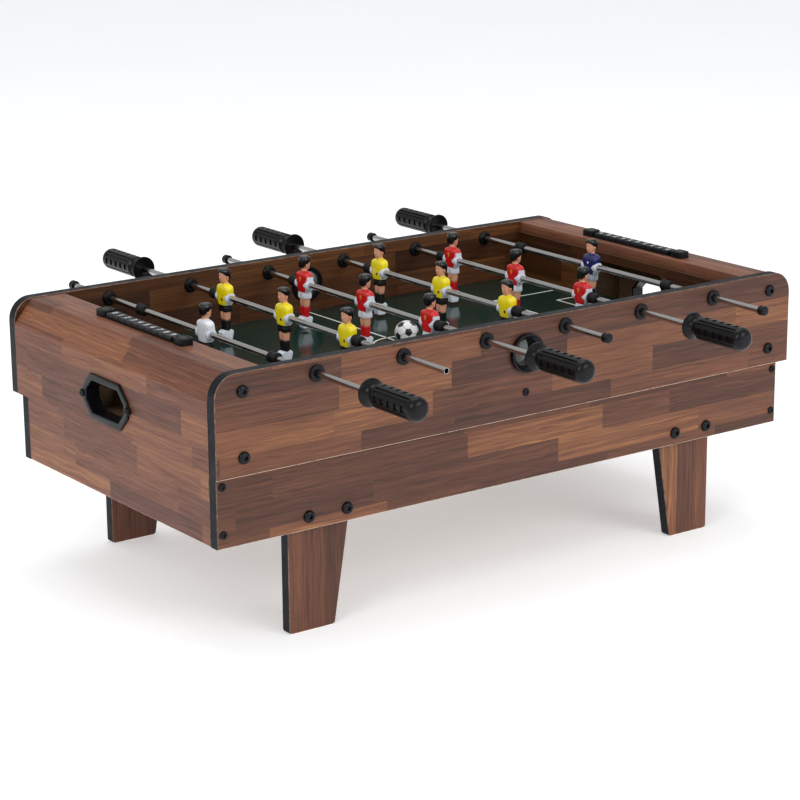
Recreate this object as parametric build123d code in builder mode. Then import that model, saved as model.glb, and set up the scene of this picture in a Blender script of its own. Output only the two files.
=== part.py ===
from build123d import *

import os
from dataclasses import dataclass
from math import hypot

# Tabletop foosball: a laminated-board cabinet on four legs, six rods and fourteen players.
# X runs from goal to goal, Y runs along the rods and Z is up. The origin is under the middle
# of the table, on the surface that it stands on. Lengths are in millimetres.

# ---- Driving dimensions: cabinet ---------------------------------------------------------
table_length = 686.0          # over the upper side panels
table_width = 380.0           # over the two upper side panels
board = 12.0                  # thickness of the cabinet's boards
panel_top = 262.0             # top edge of the side panels
waist = 168.0                 # where the upper box stands on the lower one
skirt_bottom = 101.5          # lower edge of the lower box
skirt_inset_side = 10.0       # step between upper and lower box, along Y
skirt_inset_end = 5.5         # the same step along X
panel_corner_radius = 22.0    # rounding of the side panels' top corners
end_fold_height = 238.0       # where the end board's upright part folds inwards
end_slope_run = 19.0          # how far the sloping part leans in
end_top = 261.0               # upper face of the end board's flat top
end_top_width = 37.0          # depth of that flat top

# ---- Driving dimensions: playing field and goals -----------------------------------------
field_top = 200.0
field_thickness = 4.0
batten_width = 20.0
batten_bottom = 140.0
goal_width = 116.0
goal_height = 40.0
tray_floor_top = 176.0
tray_wall = 4.0
return_height = 198.8         # centre of the ball return holes
return_opening = (70.0, 31.0)     # clear width and height of a return hole
return_flange = 6.5           # rim around that opening
return_rim_thickness = 2.5    # how far the rim stands out from the board
return_rim_rounding = 0.8
return_sleeve_wall = 2.0      # sleeve that lines the hole in the board
return_chamfer = 11.0         # corner cut of the clear opening
return_ear_radius = 4.0
serve_height = 230.0          # centre of the serving cups
serve_clearance = 1.0         # between a ball and the cup's bore
serve_wall = 1.8
serve_rim = 4.0               # how far the cup's rim stands out past its barrel
serve_rim_depth = 5.0         # how far the dished rim stands out from the panel
serve_rim_edge = 1.6          # flat edge of that rim
serve_ring_depth = 2.4
serve_ring_chamfer = 0.7
ball_radius = 12.0
ball_lift = 0.3               # left under the resting ball

# ---- Driving dimensions: legs and fasteners ----------------------------------------------
leg_from_end = 86.8           # from the panel's end to the leg's upright edge
leg_foot_width = 50.0
leg_taper = 1 / 6             # widening of the leg per unit of height
leg_top = 138.0
leg_bolt_height = 114.0
leg_bolt_edge = 15.2          # from the leg's upright edge to its first bolt
leg_bolt_pitch = 41.6
bolt_radius = 3.0
bolt_head_radius = 5.75
bolt_head_height = 3.4
bolt_hex = 4.0                # across the flats of the socket
nut_width = 10.0              # across the flats
nut_height = 5.0
corner_bolt_inset = 16.5      # from the end board's inner face
corner_bolt_drop = 4.0        # upper bolt's centre below the flat top's lower face
corner_bolt_lower = 185.0
corner_block_depth = 18.0
screw_radius = 1.8
screw_head_radius = 3.8
screw_head_height = 2.0
screw_length = 26.0
screw_point_gap = 1.0         # a screw's hole is this much deeper than the screw
skirt_screw_heights = (158.6, 114.6)
batten_screw_height = 191.6
hole_clearance = 0.2          # between a fastener's shank and its hole
head_rounding = 0.7           # rounded share of a bolt or screw head's height
recess_depth = 0.6            # depth of a drive recess as a share of its head

# ---- Driving dimensions: rods, handles and players ---------------------------------------
rod_pitch = 94.8
rod_height = 248.8            # rod axis
tube_radius = 3.0
tube_wall = 0.6
grip_gap = 23.6               # left between a handle's rim and its bush at the end of the travel
grip_length = 74.0
grip_radius = 11.0
grip_rim_radius = 13.0
grip_neck_radius = 7.5
grip_socket = 52.0            # how deep the tube sits in the handle
grip_rim_thickness = 2.6
grip_neck_end = 8.6           # narrowest place of the neck, from the rim
grip_barrel_start = 15.0
grip_end_rounding = 7.0
flute_depth = 1.2             # of the grip's flutes and pockets
flute_width = 2.2
flute_spacing = 4.0           # between the two flutes of a pair
flute_margin = 1.5            # plain barrel left at both ends of the flutes
pocket_count = 5              # pockets in a row
pocket_size = (5.6, 4.6)
pocket_rounding = 1.2
cap_side_wall = 1.9
cap_length = 8.0
cap_end_wall = 1.6
cap_stop_gap = 8.6            # left between a cap and its bush at the end of the longest travel
bush_wall = 2.55
bush_lip = 2.2                # how far the flange stands out past the barrel
bush_flange = 3.0
running_clearance = 0.05      # tube in its bushes, and bumper on its tube
bumper_wall = 2.55
bumper_length = 12.0
goalie_bumper_reach = 123.6   # outer end of a goalkeeper rod's bumpers
bumper_chamfer = 0.8
bumper_gap = 0.4              # end play between a bumper and the player beside it
stop_gap = 1.0                # left between a bumper and its bush at the end of the travel
player_pitch = 107.0
hub_length = 22.0
hub_wall = 2.5
foot_reach = 46.0             # rod axis to the sole
head_reach = 29.0             # rod axis to the crown
boot_length = 15.0            # at the boot's top, where it is longest
sole_length = 9.5
boot_width = 9.0
boot_height = 12.0
head_height = 14.8            # chin to crown
head_radius = 5.6
neck_radius = 3.0

# ---- Driving dimensions: score counters --------------------------------------------------
counter_inset = 14.0          # a score rail's centre line from the goal wall's face
rail_length = 158.0
rail_width = 14.0
rail_base = 1.6
rail_block = 16.0             # length of the raised end of a rail
rail_height = 6.6
rail_rib = (4.0, 1.6)         # width and height of the rib that guides the beads
bead_count = 10
bead_length = 10.8
bead_pitch = 11.8
bead_height = 3.6
bead_gap = 0.3                # clearance between a bead and its rail

# ---- Worked out from the values above ----------------------------------------------------
half_length = table_length / 2
half_width = table_width / 2
inner_width = half_width - board                    # inner face of the side panels
skirt_face = half_width - skirt_inset_side          # outer face of the lower side boards
skirt_back = skirt_face - board
skirt_end = half_length - skirt_inset_end           # outer face of the lower end boards
field_bottom = field_top - field_thickness
goal_face = half_length - end_slope_run - end_top_width
goal_back = goal_face + board
end_inner = half_length - board                     # inner face of the end board's upright part
corner_bolt_x = end_inner - corner_bolt_inset
corner_bolt_heights = (end_top - board - corner_bolt_drop, corner_bolt_lower)
counter_x = goal_face + counter_inset               # centre line of a score rail
serve_bore_radius = ball_radius + serve_clearance
serve_barrel_radius = serve_bore_radius + serve_wall
serve_rim_radius = serve_barrel_radius + serve_rim
leg_edge = half_length - leg_from_end
leg_bolt_xs = (leg_edge - leg_bolt_edge, leg_edge - leg_bolt_edge - leg_bolt_pitch)
skirt_screw_x = skirt_end - board / 2
ear_y = return_opening[0] / 2 + return_flange       # centre of a return ring's screw ears
sleeve_size = [side + 2 * return_sleeve_wall for side in return_opening]
tube_bore_radius = tube_radius - tube_wall
running_radius = tube_radius + running_clearance    # bore that slides on a tube
bush_radius = running_radius + bush_wall
bush_flange_radius = bush_radius + bush_lip
bumper_radius = running_radius + bumper_wall
hub_radius = tube_radius + hub_wall
cap_radius = tube_radius + cap_side_wall
outfield_bumper_reach = player_pitch + hub_length / 2 + bumper_gap + bumper_length
longest_travel = inner_width - bush_flange - stop_gap - min(goalie_bumper_reach, outfield_bumper_reach)
rod_reach = half_width + bush_flange + longest_travel + cap_stop_gap + cap_length
grip_reach = half_width + bush_flange + longest_travel + grip_gap


@dataclass
class Rod:
    """One rod: who stands on it, where its handle is and where it rests."""

    number: int
    team: str
    players: int
    handle_side: int      # -1 at the front of the table, +1 at the back
    facing: int           # +1 when the players look along +X
    rest_shift: float     # how far the rod is slid along Y at rest
    capped: bool = True

    @property
    def x(self):
        return (self.number - 3.5) * rod_pitch

    @property
    def player_ys(self):
        middle = (self.players - 1) / 2
        return [(middle - i) * player_pitch for i in range(self.players)]

    @property
    def bumper_reach(self):
        """Outer end of the bumpers on a centred rod."""
        return goalie_bumper_reach if self.players == 1 else outfield_bumper_reach

    @property
    def travel(self):
        """How far the centred rod slides each way before a bumper meets its bush."""
        return inner_width - bush_flange - stop_gap - self.bumper_reach


rods = [
    Rod(1, "white", 1, -1, +1, -5.0),
    Rod(2, "yellow", 3, +1, -1, +5.0, capped=False),
    Rod(3, "red", 3, -1, +1, +4.0),
    Rod(4, "yellow", 3, +1, -1, +5.0),
    Rod(5, "red", 3, -1, +1, +4.0),
    Rod(6, "navy", 1, +1, -1, -5.0),
]
rod_xs = [rod.x for rod in rods]


def save(piece, name):
    """Label one finished piece and write it as its own STEP file."""
    piece.label = name
    export_step(piece, f"parts/{name}.step")


def gather(pieces):
    """Keep separate solids together in one piece of work, without merging them."""
    return Compound([solid for piece in pieces for solid in piece.solids()])


def upright_plane(y):
    """The XZ plane at a given Y, looking along -Y, with sketch Y pointing up."""
    return Plane.XZ.offset(-y)


def both_sides(piece):
    """A piece and its mirror image on the other long side of the table."""
    return piece, mirror(piece, about=Plane.XZ)


def both_ends(piece):
    """A piece and its mirror image at the other end of the table."""
    return piece, mirror(piece, about=Plane.YZ)


def inner_fold(before, corner, after):
    """Where the inner faces of a folded board meet, under an outer corner of its section."""
    (ax, az), (bx, bz), (cx, cz) = before, corner, after
    first = hypot(bx - ax, bz - az)
    second = hypot(cx - bx, cz - bz)
    first_dir = ((bx - ax) / first, (bz - az) / first)
    second_dir = ((cx - bx) / second, (cz - bz) / second)
    cosine = first_dir[0] * second_dir[0] + first_dir[1] * second_dir[1]
    reach = board / (1 + cosine)
    return (
        bx + reach * (first_dir[1] + second_dir[1]),
        bz - reach * (first_dir[0] + second_dir[0]),
    )


# Section of the left end board, from its foot up over the fold to the edge above the goal.
fold_foot = (-half_length, waist)
fold_low = (-half_length, end_fold_height)
fold_high = (-half_length + end_slope_run, end_top)
fold_edge = (-goal_face, end_top)
inner_low = inner_fold(fold_foot, fold_low, fold_high)
inner_high = inner_fold(fold_low, fold_high, fold_edge)


# ---- Cabinet boards ----------------------------------------------------------------------
def make_side_panel():
    """Front upper side panel with holes for the bushes, the serving cup and its fasteners."""
    with BuildPart() as side_panel:
        with BuildSketch(upright_plane(-half_width)) as outline:
            with Locations((0, (waist + panel_top) / 2)):
                Rectangle(table_length, panel_top - waist)
            fillet(outline.vertices().group_by(Axis.Z)[-1], panel_corner_radius)
            with Locations(*[(x, rod_height) for x in rod_xs]):
                Circle(bush_radius, mode=Mode.SUBTRACT)
            with Locations((0, serve_height)):
                Circle(serve_barrel_radius, mode=Mode.SUBTRACT)
            with Locations(*[(s * corner_bolt_x, z) for s in (-1, 1) for z in corner_bolt_heights]):
                Circle(bolt_radius + hole_clearance, mode=Mode.SUBTRACT)
            with Locations((0, batten_screw_height)):
                Circle(screw_radius + hole_clearance, mode=Mode.SUBTRACT)
        extrude(amount=-board)
    return side_panel.part


def make_lower_side():
    """Front board of the lower box, drilled for the leg bolts and the end screws."""
    with BuildPart() as lower_side:
        with BuildSketch(upright_plane(-skirt_face)):
            with Locations((0, (skirt_bottom + waist) / 2)):
                Rectangle(2 * skirt_end, waist - skirt_bottom)
            with Locations(*[(s * x, leg_bolt_height) for s in (-1, 1) for x in leg_bolt_xs]):
                Circle(bolt_radius + hole_clearance, mode=Mode.SUBTRACT)
            with Locations(*[(s * skirt_screw_x, z) for s in (-1, 1) for z in skirt_screw_heights]):
                Circle(screw_radius + hole_clearance, mode=Mode.SUBTRACT)
        extrude(amount=-board)
    return lower_side.part


def make_lower_end():
    """Left board of the lower box, between the two long ones."""
    with BuildPart() as lower_end:
        with BuildSketch(Plane.XY.offset(skirt_bottom)):
            with Locations((-skirt_end + board / 2, 0)):
                Rectangle(board, 2 * skirt_back)
        extrude(amount=waist - skirt_bottom)
        drill = screw_length - board + screw_point_gap
        for z in skirt_screw_heights:
            for side in (-1, 1):
                with BuildSketch(upright_plane(side * skirt_back)):
                    with Locations((-skirt_screw_x, z)):
                        Circle(screw_radius + hole_clearance)
                extrude(amount=side * drill, mode=Mode.SUBTRACT)
    return lower_end.part


def octagon(width, height, cut):
    """Sketch a rectangle with its four corners cut off."""
    with BuildSketch(mode=Mode.PRIVATE) as shape:
        Rectangle(width, height)
        chamfer(shape.vertices(), cut)
    return shape.sketch


def return_plane(x):
    """Plane across a ball return hole, looking out of the left end of the table."""
    return Plane(origin=(x, 0, return_height), x_dir=(0, -1, 0), z_dir=(-1, 0, 0))


def make_end_board():
    """Left end board: upright, slope and flat top folded from one board."""
    with BuildPart() as end_board:
        with BuildSketch(upright_plane(inner_width)):
            with BuildLine():
                Polyline(
                    fold_foot,
                    fold_low,
                    fold_high,
                    fold_edge,
                    (-goal_face, end_top - board),
                    inner_high,
                    inner_low,
                    (-end_inner, waist),
                    close=True,
                )
            make_face()
        extrude(amount=2 * inner_width)
        with BuildSketch(return_plane(-half_length)):
            add(octagon(*sleeve_size, return_chamfer))
            with Locations((-ear_y, 0), (ear_y, 0)):
                Circle(screw_radius + hole_clearance)
        extrude(amount=-board, mode=Mode.SUBTRACT)
    return end_board.part


def make_goal_wall():
    """Left goal wall with the goal mouth cut up from the playing field."""
    with BuildPart() as goal_wall:
        with BuildSketch(Plane.YZ.offset(-goal_back)):
            with Locations((0, field_top)):
                Rectangle(2 * inner_width, end_top - board - field_top, align=(Align.CENTER, Align.MIN))
                Rectangle(
                    goal_width, goal_height, align=(Align.CENTER, Align.MIN), mode=Mode.SUBTRACT
                )
        extrude(amount=board)
    return goal_wall.part


def make_field():
    """Playing field, running under both goal walls."""
    with BuildPart() as field:
        with BuildSketch(Plane.XY.offset(field_bottom)):
            Rectangle(2 * goal_back, 2 * inner_width)
        extrude(amount=field_thickness)
    return field.part


def make_batten():
    """Front batten: carries the field and ties the upper box to the lower one."""
    with BuildPart() as batten:
        with BuildSketch(Plane.YZ.offset(-goal_face)):
            with BuildLine():
                Polyline(
                    (-inner_width, waist),
                    (-inner_width, field_bottom),
                    (-inner_width + batten_width, field_bottom),
                    (-inner_width + batten_width, batten_bottom),
                    (-skirt_back, batten_bottom),
                    (-skirt_back, waist),
                    close=True,
                )
            make_face()
        extrude(amount=2 * goal_face)
        with BuildSketch(upright_plane(-inner_width)):
            with Locations((0, batten_screw_height)):
                Circle(screw_radius + hole_clearance)
        extrude(amount=board - screw_length - screw_point_gap, mode=Mode.SUBTRACT)
    return batten.part


def make_corner_block():
    """Front left corner block, which the two corner bolts are driven into."""
    with BuildPart() as corner_block:
        with BuildSketch(upright_plane(-inner_width)):
            with BuildLine():
                Polyline(
                    (-end_inner, waist),
                    inner_low,
                    inner_high,
                    (-goal_back, end_top - board),
                    (-goal_back, waist),
                    close=True,
                )
            make_face()
            with Locations(*[(-corner_bolt_x, z) for z in corner_bolt_heights]):
                Circle(bolt_radius + hole_clearance, mode=Mode.SUBTRACT)
        extrude(amount=-corner_block_depth)
    return corner_block.part


def make_leg():
    """Front left leg: upright outer edge, tapered inner edge."""
    top_width = leg_foot_width + leg_top * leg_taper
    with BuildPart() as leg:
        with BuildSketch(upright_plane(-skirt_back)):
            with BuildLine():
                Polyline(
                    (-leg_edge, 0),
                    (-leg_edge, leg_top),
                    (-leg_edge + top_width, leg_top),
                    (-leg_edge + leg_foot_width, 0),
                    close=True,
                )
            make_face()
            with Locations(*[(-x, leg_bolt_height) for x in leg_bolt_xs]):
                Circle(bolt_radius + hole_clearance, mode=Mode.SUBTRACT)
        extrude(amount=-board)
    return leg.part


# ---- Goal trays, return rings and serving cups -------------------------------------------
def make_ball_tray():
    """Left ball tray: catches a scored ball behind the goal, beside the return hole."""
    inside = goal_width / 2
    with BuildPart() as ball_tray:
        with BuildSketch(Plane.XY.offset(tray_floor_top - tray_wall)):
            with Locations((-end_inner, 0)):
                Rectangle(
                    end_inner - goal_back + tray_wall,
                    goal_width + 2 * tray_wall,
                    align=(Align.MIN, Align.CENTER),
                )
        extrude(amount=tray_wall)
        with BuildSketch(Plane.XY.offset(tray_floor_top)):
            with Locations((-goal_back + tray_wall / 2, 0)):
                Rectangle(tray_wall, goal_width + 2 * tray_wall)
        extrude(amount=field_bottom - tray_floor_top)
        with BuildSketch(Plane.XY.offset(tray_floor_top)):
            for side in (-1, 1):
                with Locations((-end_inner, side * (inside + tray_wall / 2))):
                    Rectangle(end_inner - goal_back, tray_wall, align=(Align.MIN, Align.CENTER))
        extrude(amount=inner_low[1] - tray_floor_top)
    return ball_tray.part


def make_return_ring():
    """Left return ring: an eight-sided rim with two screw ears and a sleeve through the board."""
    rim_size = [side + 2 * return_flange for side in return_opening]
    with BuildPart() as return_ring:
        with BuildSketch(return_plane(-half_length)):
            add(octagon(*rim_size, return_chamfer + return_flange / 2))
            with Locations((-ear_y, 0), (ear_y, 0)):
                Circle(return_ear_radius)
        extrude(amount=return_rim_thickness)
        fillet(return_ring.faces().sort_by(Axis.X)[0].edges(), return_rim_rounding)
        with BuildSketch(return_plane(-half_length)):
            add(octagon(*sleeve_size, return_chamfer))
        extrude(amount=-board)
        with BuildSketch(return_plane(-end_inner)):
            add(octagon(*return_opening, return_chamfer - return_sleeve_wall / 2))
        extrude(amount=board + return_rim_thickness, mode=Mode.SUBTRACT)
        with BuildSketch(return_plane(-half_length)):
            with Locations((-ear_y, 0), (ear_y, 0)):
                Circle(screw_radius + hole_clearance)
        extrude(amount=return_rim_thickness, mode=Mode.SUBTRACT)
    return return_ring.part


def make_serve_cup():
    """Front serving cup: a dished rim outside the panel and a barrel through it."""
    rim_front = -half_width - serve_rim_depth
    with BuildPart() as serve_cup:
        with BuildSketch(Plane.XY):
            with BuildLine():
                Polyline(
                    (serve_bore_radius, -inner_width),
                    (serve_barrel_radius, -inner_width),
                    (serve_barrel_radius, -half_width),
                    (serve_rim_radius, -half_width),
                    (serve_rim_radius, rim_front),
                    (serve_rim_radius - serve_rim_edge, rim_front),
                    (serve_bore_radius, -half_width),
                    close=True,
                )
            make_face()
        revolve(axis=Axis.Y)
        fillet(serve_cup.edges().group_by(Axis.Y)[0], serve_rim_edge * 0.4)
    return serve_cup.part.moved(Location((0, 0, serve_height)))


def make_serve_ring():
    """Front inner ring that clips the serving cup into its panel."""
    with BuildPart() as serve_ring:
        with BuildSketch(upright_plane(-inner_width)):
            with Locations((0, serve_height)):
                Circle(serve_rim_radius)
                Circle(serve_bore_radius, mode=Mode.SUBTRACT)
        extrude(amount=-serve_ring_depth)
        chamfer(serve_ring.edges().group_by(Axis.Y)[-1], serve_ring_chamfer)
    return serve_ring.part


# ---- Fasteners ---------------------------------------------------------------------------
def make_bolt(length):
    """Button-head bolt with its shank along +Y and the underside of its head at Y = 0."""
    with BuildPart() as bolt:
        with BuildSketch(upright_plane(-bolt_head_height)):
            Circle(bolt_head_radius)
        extrude(amount=-bolt_head_height)
        fillet(bolt.edges().group_by(Axis.Y)[0], bolt_head_height * head_rounding)
        with BuildSketch(upright_plane(-bolt_head_height)):
            RegularPolygon(bolt_hex / 2, 6, major_radius=False)
        extrude(amount=-bolt_head_height * recess_depth, mode=Mode.SUBTRACT)
        with BuildSketch(upright_plane(0)):
            Circle(bolt_radius)
        extrude(amount=-length)
    return bolt.part


def make_nut():
    """Hexagon nut with its near face at Y = 0."""
    with BuildPart() as nut:
        with BuildSketch(upright_plane(0)):
            RegularPolygon(nut_width / 2, 6, major_radius=False)
            Circle(bolt_radius, mode=Mode.SUBTRACT)
        extrude(amount=-nut_height)
    return nut.part


def make_screw(length):
    """Small cross-head screw with its shank along +Y and its head standing out towards -Y."""
    cross = (screw_head_radius * 1.1, screw_head_radius * 0.22)
    with BuildPart() as screw:
        with BuildSketch(upright_plane(-screw_head_height)):
            Circle(screw_head_radius)
        extrude(amount=-screw_head_height)
        fillet(screw.edges().group_by(Axis.Y)[0], screw_head_height * head_rounding)
        with BuildSketch(upright_plane(-screw_head_height)):
            Rectangle(*cross)
            Rectangle(*reversed(cross))
        extrude(amount=-screw_head_height * recess_depth, mode=Mode.SUBTRACT)
        with BuildSketch(upright_plane(0)):
            Circle(screw_radius)
        extrude(amount=-length)
    return screw.part


def front_places(xs, y, zs):
    """Places on the front face at plus and minus each X, at every height."""
    return [Location((side * x, y, z)) for x in xs for z in zs for side in (-1, 1)]


def make_bolts():
    """All corner bolts, leg bolts and leg nuts."""
    leg_bolt_length = 2 * board + nut_height
    corner_bolt = make_bolt(board + corner_block_depth)
    leg_bolt = make_bolt(leg_bolt_length)
    nut = make_nut()
    front = []
    for place in front_places([corner_bolt_x], -half_width, corner_bolt_heights):
        front.append(corner_bolt.moved(place))
    for place in front_places(leg_bolt_xs, -skirt_face, [leg_bolt_height]):
        front.append(leg_bolt.moved(place))
    for place in front_places(leg_bolt_xs, -skirt_back + board, [leg_bolt_height]):
        front.append(nut.moved(place))
    return gather([copy for piece in front for copy in both_sides(piece)])


def make_screws():
    """All small screws: lower box, battens and return rings."""
    screw = make_screw(screw_length)
    ear_screw = make_screw(return_rim_thickness + board - screw_point_gap)
    front = [screw.moved(Location((0, -half_width, batten_screw_height)))]
    for place in front_places([skirt_screw_x], -skirt_face, skirt_screw_heights):
        front.append(screw.moved(place))
    pieces = [copy for piece in front for copy in both_sides(piece)]
    for side in (-1, 1):
        place = Location((-half_length - return_rim_thickness, side * ear_y, return_height), (0, 0, -90))
        pieces.extend(both_ends(ear_screw.moved(place)))
    return gather(pieces)


# ---- Rods --------------------------------------------------------------------------------
def make_bush():
    """Front bush: a flanged barrel through the panel, centred on the rod axis."""
    with BuildPart() as bush:
        with BuildSketch(upright_plane(-half_width - bush_flange)):
            Circle(bush_flange_radius)
        extrude(amount=-bush_flange)
        fillet(bush.edges().group_by(Axis.Y)[0], bush_flange * 0.5)
        with BuildSketch(upright_plane(-half_width)):
            Circle(bush_radius)
        extrude(amount=-board)
        with BuildSketch(upright_plane(-half_width - bush_flange)):
            Circle(running_radius)
        extrude(amount=-bush_flange - board, mode=Mode.SUBTRACT)
    return bush.part


def make_bush_nut():
    """Front inner nut: the domed ring that holds a bush from inside the table."""
    with BuildPart() as bush_nut:
        with BuildSketch(upright_plane(-inner_width)):
            Circle(bush_flange_radius)
        extrude(amount=-bush_flange)
        fillet(bush_nut.edges().group_by(Axis.Y)[-1], bush_flange * 0.6)
        with BuildSketch(upright_plane(-inner_width)):
            Circle(running_radius)
        extrude(amount=-bush_flange, mode=Mode.SUBTRACT)
    return bush_nut.part


def make_bushes():
    """Every bush and its nut, on both sides of the table."""
    pieces = []
    for piece in both_sides(make_bush()) + both_sides(make_bush_nut()):
        for x in rod_xs:
            pieces.append(piece.moved(Location((x, 0, rod_height))))
    return gather(pieces)


def make_tube(rod):
    """Steel tube from just inside the cap to the bottom of the handle's socket."""
    end_wall = cap_end_wall if rod.capped else 0
    length = rod_reach - end_wall + grip_reach + grip_socket
    start = rod.handle_side * (grip_reach + grip_socket)
    with BuildPart() as tube:
        with BuildSketch(upright_plane(start)):
            Circle(tube_radius)
            Circle(tube_bore_radius, mode=Mode.SUBTRACT)
        extrude(amount=rod.handle_side * length)
    return tube.part


def make_cap():
    """Rounded end cap with its open end towards -Y and its closed end at Y = 0."""
    with BuildPart() as cap:
        with BuildSketch(upright_plane(0)):
            Circle(cap_radius)
        extrude(amount=cap_length)
        fillet(cap.edges().group_by(Axis.Y)[-1], cap_radius * 0.5)
        with BuildSketch(upright_plane(-cap_end_wall)):
            Circle(tube_radius)
        extrude(amount=cap_length - cap_end_wall, mode=Mode.SUBTRACT)
        fillet(cap.edges().group_by(Axis.Y)[0].sort_by(SortBy.RADIUS)[-1:], 0.4)
    return cap.part


def make_grip():
    """Handle along +Y with its rim at Y = 0: flared rim, neck, fluted barrel and rounded end."""
    barrel_end = grip_length - grip_end_rounding
    flute_length = barrel_end - grip_barrel_start - 2 * flute_margin
    middle = (grip_barrel_start + barrel_end) / 2
    with BuildPart() as grip:
        with BuildSketch(Plane.XY):
            with BuildLine():
                Polyline((0, 0), (grip_rim_radius, 0), (grip_rim_radius, grip_rim_thickness))
                ThreePointArc(
                    (grip_rim_radius, grip_rim_thickness),
                    (grip_neck_radius, grip_neck_end),
                    (grip_radius, grip_barrel_start),
                )
                Line((grip_radius, grip_barrel_start), (grip_radius, barrel_end))
                CenterArc(
                    (grip_radius - grip_end_rounding, barrel_end),
                    grip_end_rounding,
                    start_angle=0,
                    arc_size=90,
                )
                Polyline((grip_radius - grip_end_rounding, grip_length), (0, grip_length), (0, 0))
            make_face()
        revolve(axis=Axis.Y)
        for quarter in range(4):
            flutes = Plane.XY.rotated((0, 90 * quarter + 45, 0)).offset(grip_radius - flute_depth)
            with BuildSketch(flutes):
                with Locations((-flute_spacing / 2, middle), (flute_spacing / 2, middle)):
                    SlotOverall(flute_length, flute_width, rotation=90)
            extrude(amount=2 * flute_depth, mode=Mode.SUBTRACT)
            pockets = Plane.XY.rotated((0, 90 * quarter, 0)).offset(grip_radius - flute_depth)
            with BuildSketch(pockets):
                with Locations((0, middle)):
                    with GridLocations(1, flute_length / pocket_count, 1, pocket_count):
                        RectangleRounded(*pocket_size, pocket_rounding)
            extrude(amount=2 * flute_depth, mode=Mode.SUBTRACT)
        with BuildSketch(upright_plane(0)):
            Circle(tube_radius)
        extrude(amount=-grip_socket, mode=Mode.SUBTRACT)
    return grip.part


def make_bumpers(rod):
    """The two rubber bumpers of a rod, centred on its middle."""
    with BuildPart() as bumpers:
        for side in (-1, 1):
            with BuildSketch(upright_plane(side * rod.bumper_reach)):
                Circle(bumper_radius)
                Circle(running_radius, mode=Mode.SUBTRACT)
            extrude(amount=side * bumper_length)
        rims = bumpers.edges().filter_by(GeomType.CIRCLE).filter_by(
            lambda edge: edge.radius > running_radius + running_clearance
        )
        chamfer(rims, bumper_chamfer)
    return bumpers.part


# ---- Players -----------------------------------------------------------------------------
def make_player():
    """Player facing +X on a rod through the origin: boots, legs, shorts, shirt, hub and head."""
    # Height, depth along X and width along Y of the body's sections, from the boot tops upwards.
    sole = -foot_reach
    ankle = sole + boot_height
    chin = head_reach - head_height
    body = [
        (ankle, 7.0, 7.6),
        (-24.0, 8.0, 9.0),
        (-14.0, 9.0, 11.0),
        (-7.0, 10.4, 14.0),
        (3.0, 11.4, 19.0),
        (10.0, 10.4, 20.4),
        (12.5, 9.0, 16.0),
        (chin, 6.4, 8.0),
    ]
    with BuildPart() as player:
        for height, depth, width in body:
            with BuildSketch(Plane.XY.offset(height)):
                RectangleRounded(depth, width, min(depth, width) * 0.4)
        loft(ruled=True)
        with BuildSketch(Plane.XY.offset(sole)):
            Rectangle(sole_length, boot_width)
        with BuildSketch(Plane.XY.offset(ankle)):
            Rectangle(boot_length, boot_width)
        loft()
        with BuildSketch(Plane.XY.offset(chin)):
            Circle(neck_radius)
        extrude(amount=head_height / 4)
        with BuildSketch(Plane.XZ):
            with BuildLine():
                crown = EllipticalCenterArc(
                    (0, head_reach - head_height / 2),
                    head_radius,
                    head_height / 2,
                    start_angle=-90,
                    arc_size=180,
                )
                Line(crown @ 1, crown @ 0)
            make_face()
        revolve(axis=Axis.Z)
        with BuildSketch(upright_plane(-hub_length / 2)):
            Circle(hub_radius)
        extrude(amount=-hub_length)
        with BuildSketch(upright_plane(-hub_length / 2)):
            Circle(tube_radius)
        extrude(amount=-hub_length, mode=Mode.SUBTRACT)
    return player.part


# ---- Score counters ----------------------------------------------------------------------
def make_score_rail():
    """Score rail on the left end: base, guide rib and a raised block at each end."""
    block_y = (rail_length - rail_block) / 2
    with BuildPart() as score_rail:
        with BuildSketch(Plane.XY.offset(end_top)):
            with Locations((-counter_x, 0)):
                Rectangle(rail_width, rail_length)
        extrude(amount=rail_base)
        with BuildSketch(Plane.XY.offset(end_top + rail_base)):
            with Locations((-counter_x, 0)):
                Rectangle(rail_rib[0], rail_length)
        extrude(amount=rail_rib[1])
        with BuildSketch(Plane.XY.offset(end_top)):
            with Locations((-counter_x, -block_y), (-counter_x, block_y)):
                Rectangle(rail_width, rail_block)
        extrude(amount=rail_height)
        chamfer(score_rail.faces().group_by(Axis.Z)[-1].edges(), 1.2)
    return score_rail.part


def make_beads():
    """The row of counting beads that rides on the left score rail."""
    bead_bottom = end_top + rail_base + bead_gap
    groove_width = rail_rib[0] + 2 * bead_gap
    with BuildPart() as beads:
        with BuildSketch(Plane.XY.offset(bead_bottom)):
            with Locations((-counter_x, 0)):
                with GridLocations(1, bead_pitch, 1, bead_count):
                    Rectangle(rail_width, bead_length)
        extrude(amount=bead_height)
        chamfer(beads.faces().group_by(Axis.Z)[-1].edges(), 0.8)
        with BuildSketch(Plane.XY.offset(bead_bottom)):
            with Locations((-counter_x, 0)):
                Rectangle(groove_width, rail_length)
        extrude(amount=rail_rib[1], mode=Mode.SUBTRACT)
    return beads.part


def make_ball():
    """Ball resting at the middle of the field, in the lane between the two middle rods."""
    with BuildPart() as ball:
        with Locations((0, 0, field_top + ball_lift + ball_radius)):
            Sphere(ball_radius)
    return ball.part


# ---- Build and write every piece ---------------------------------------------------------
os.makedirs("parts", exist_ok=True)

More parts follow.
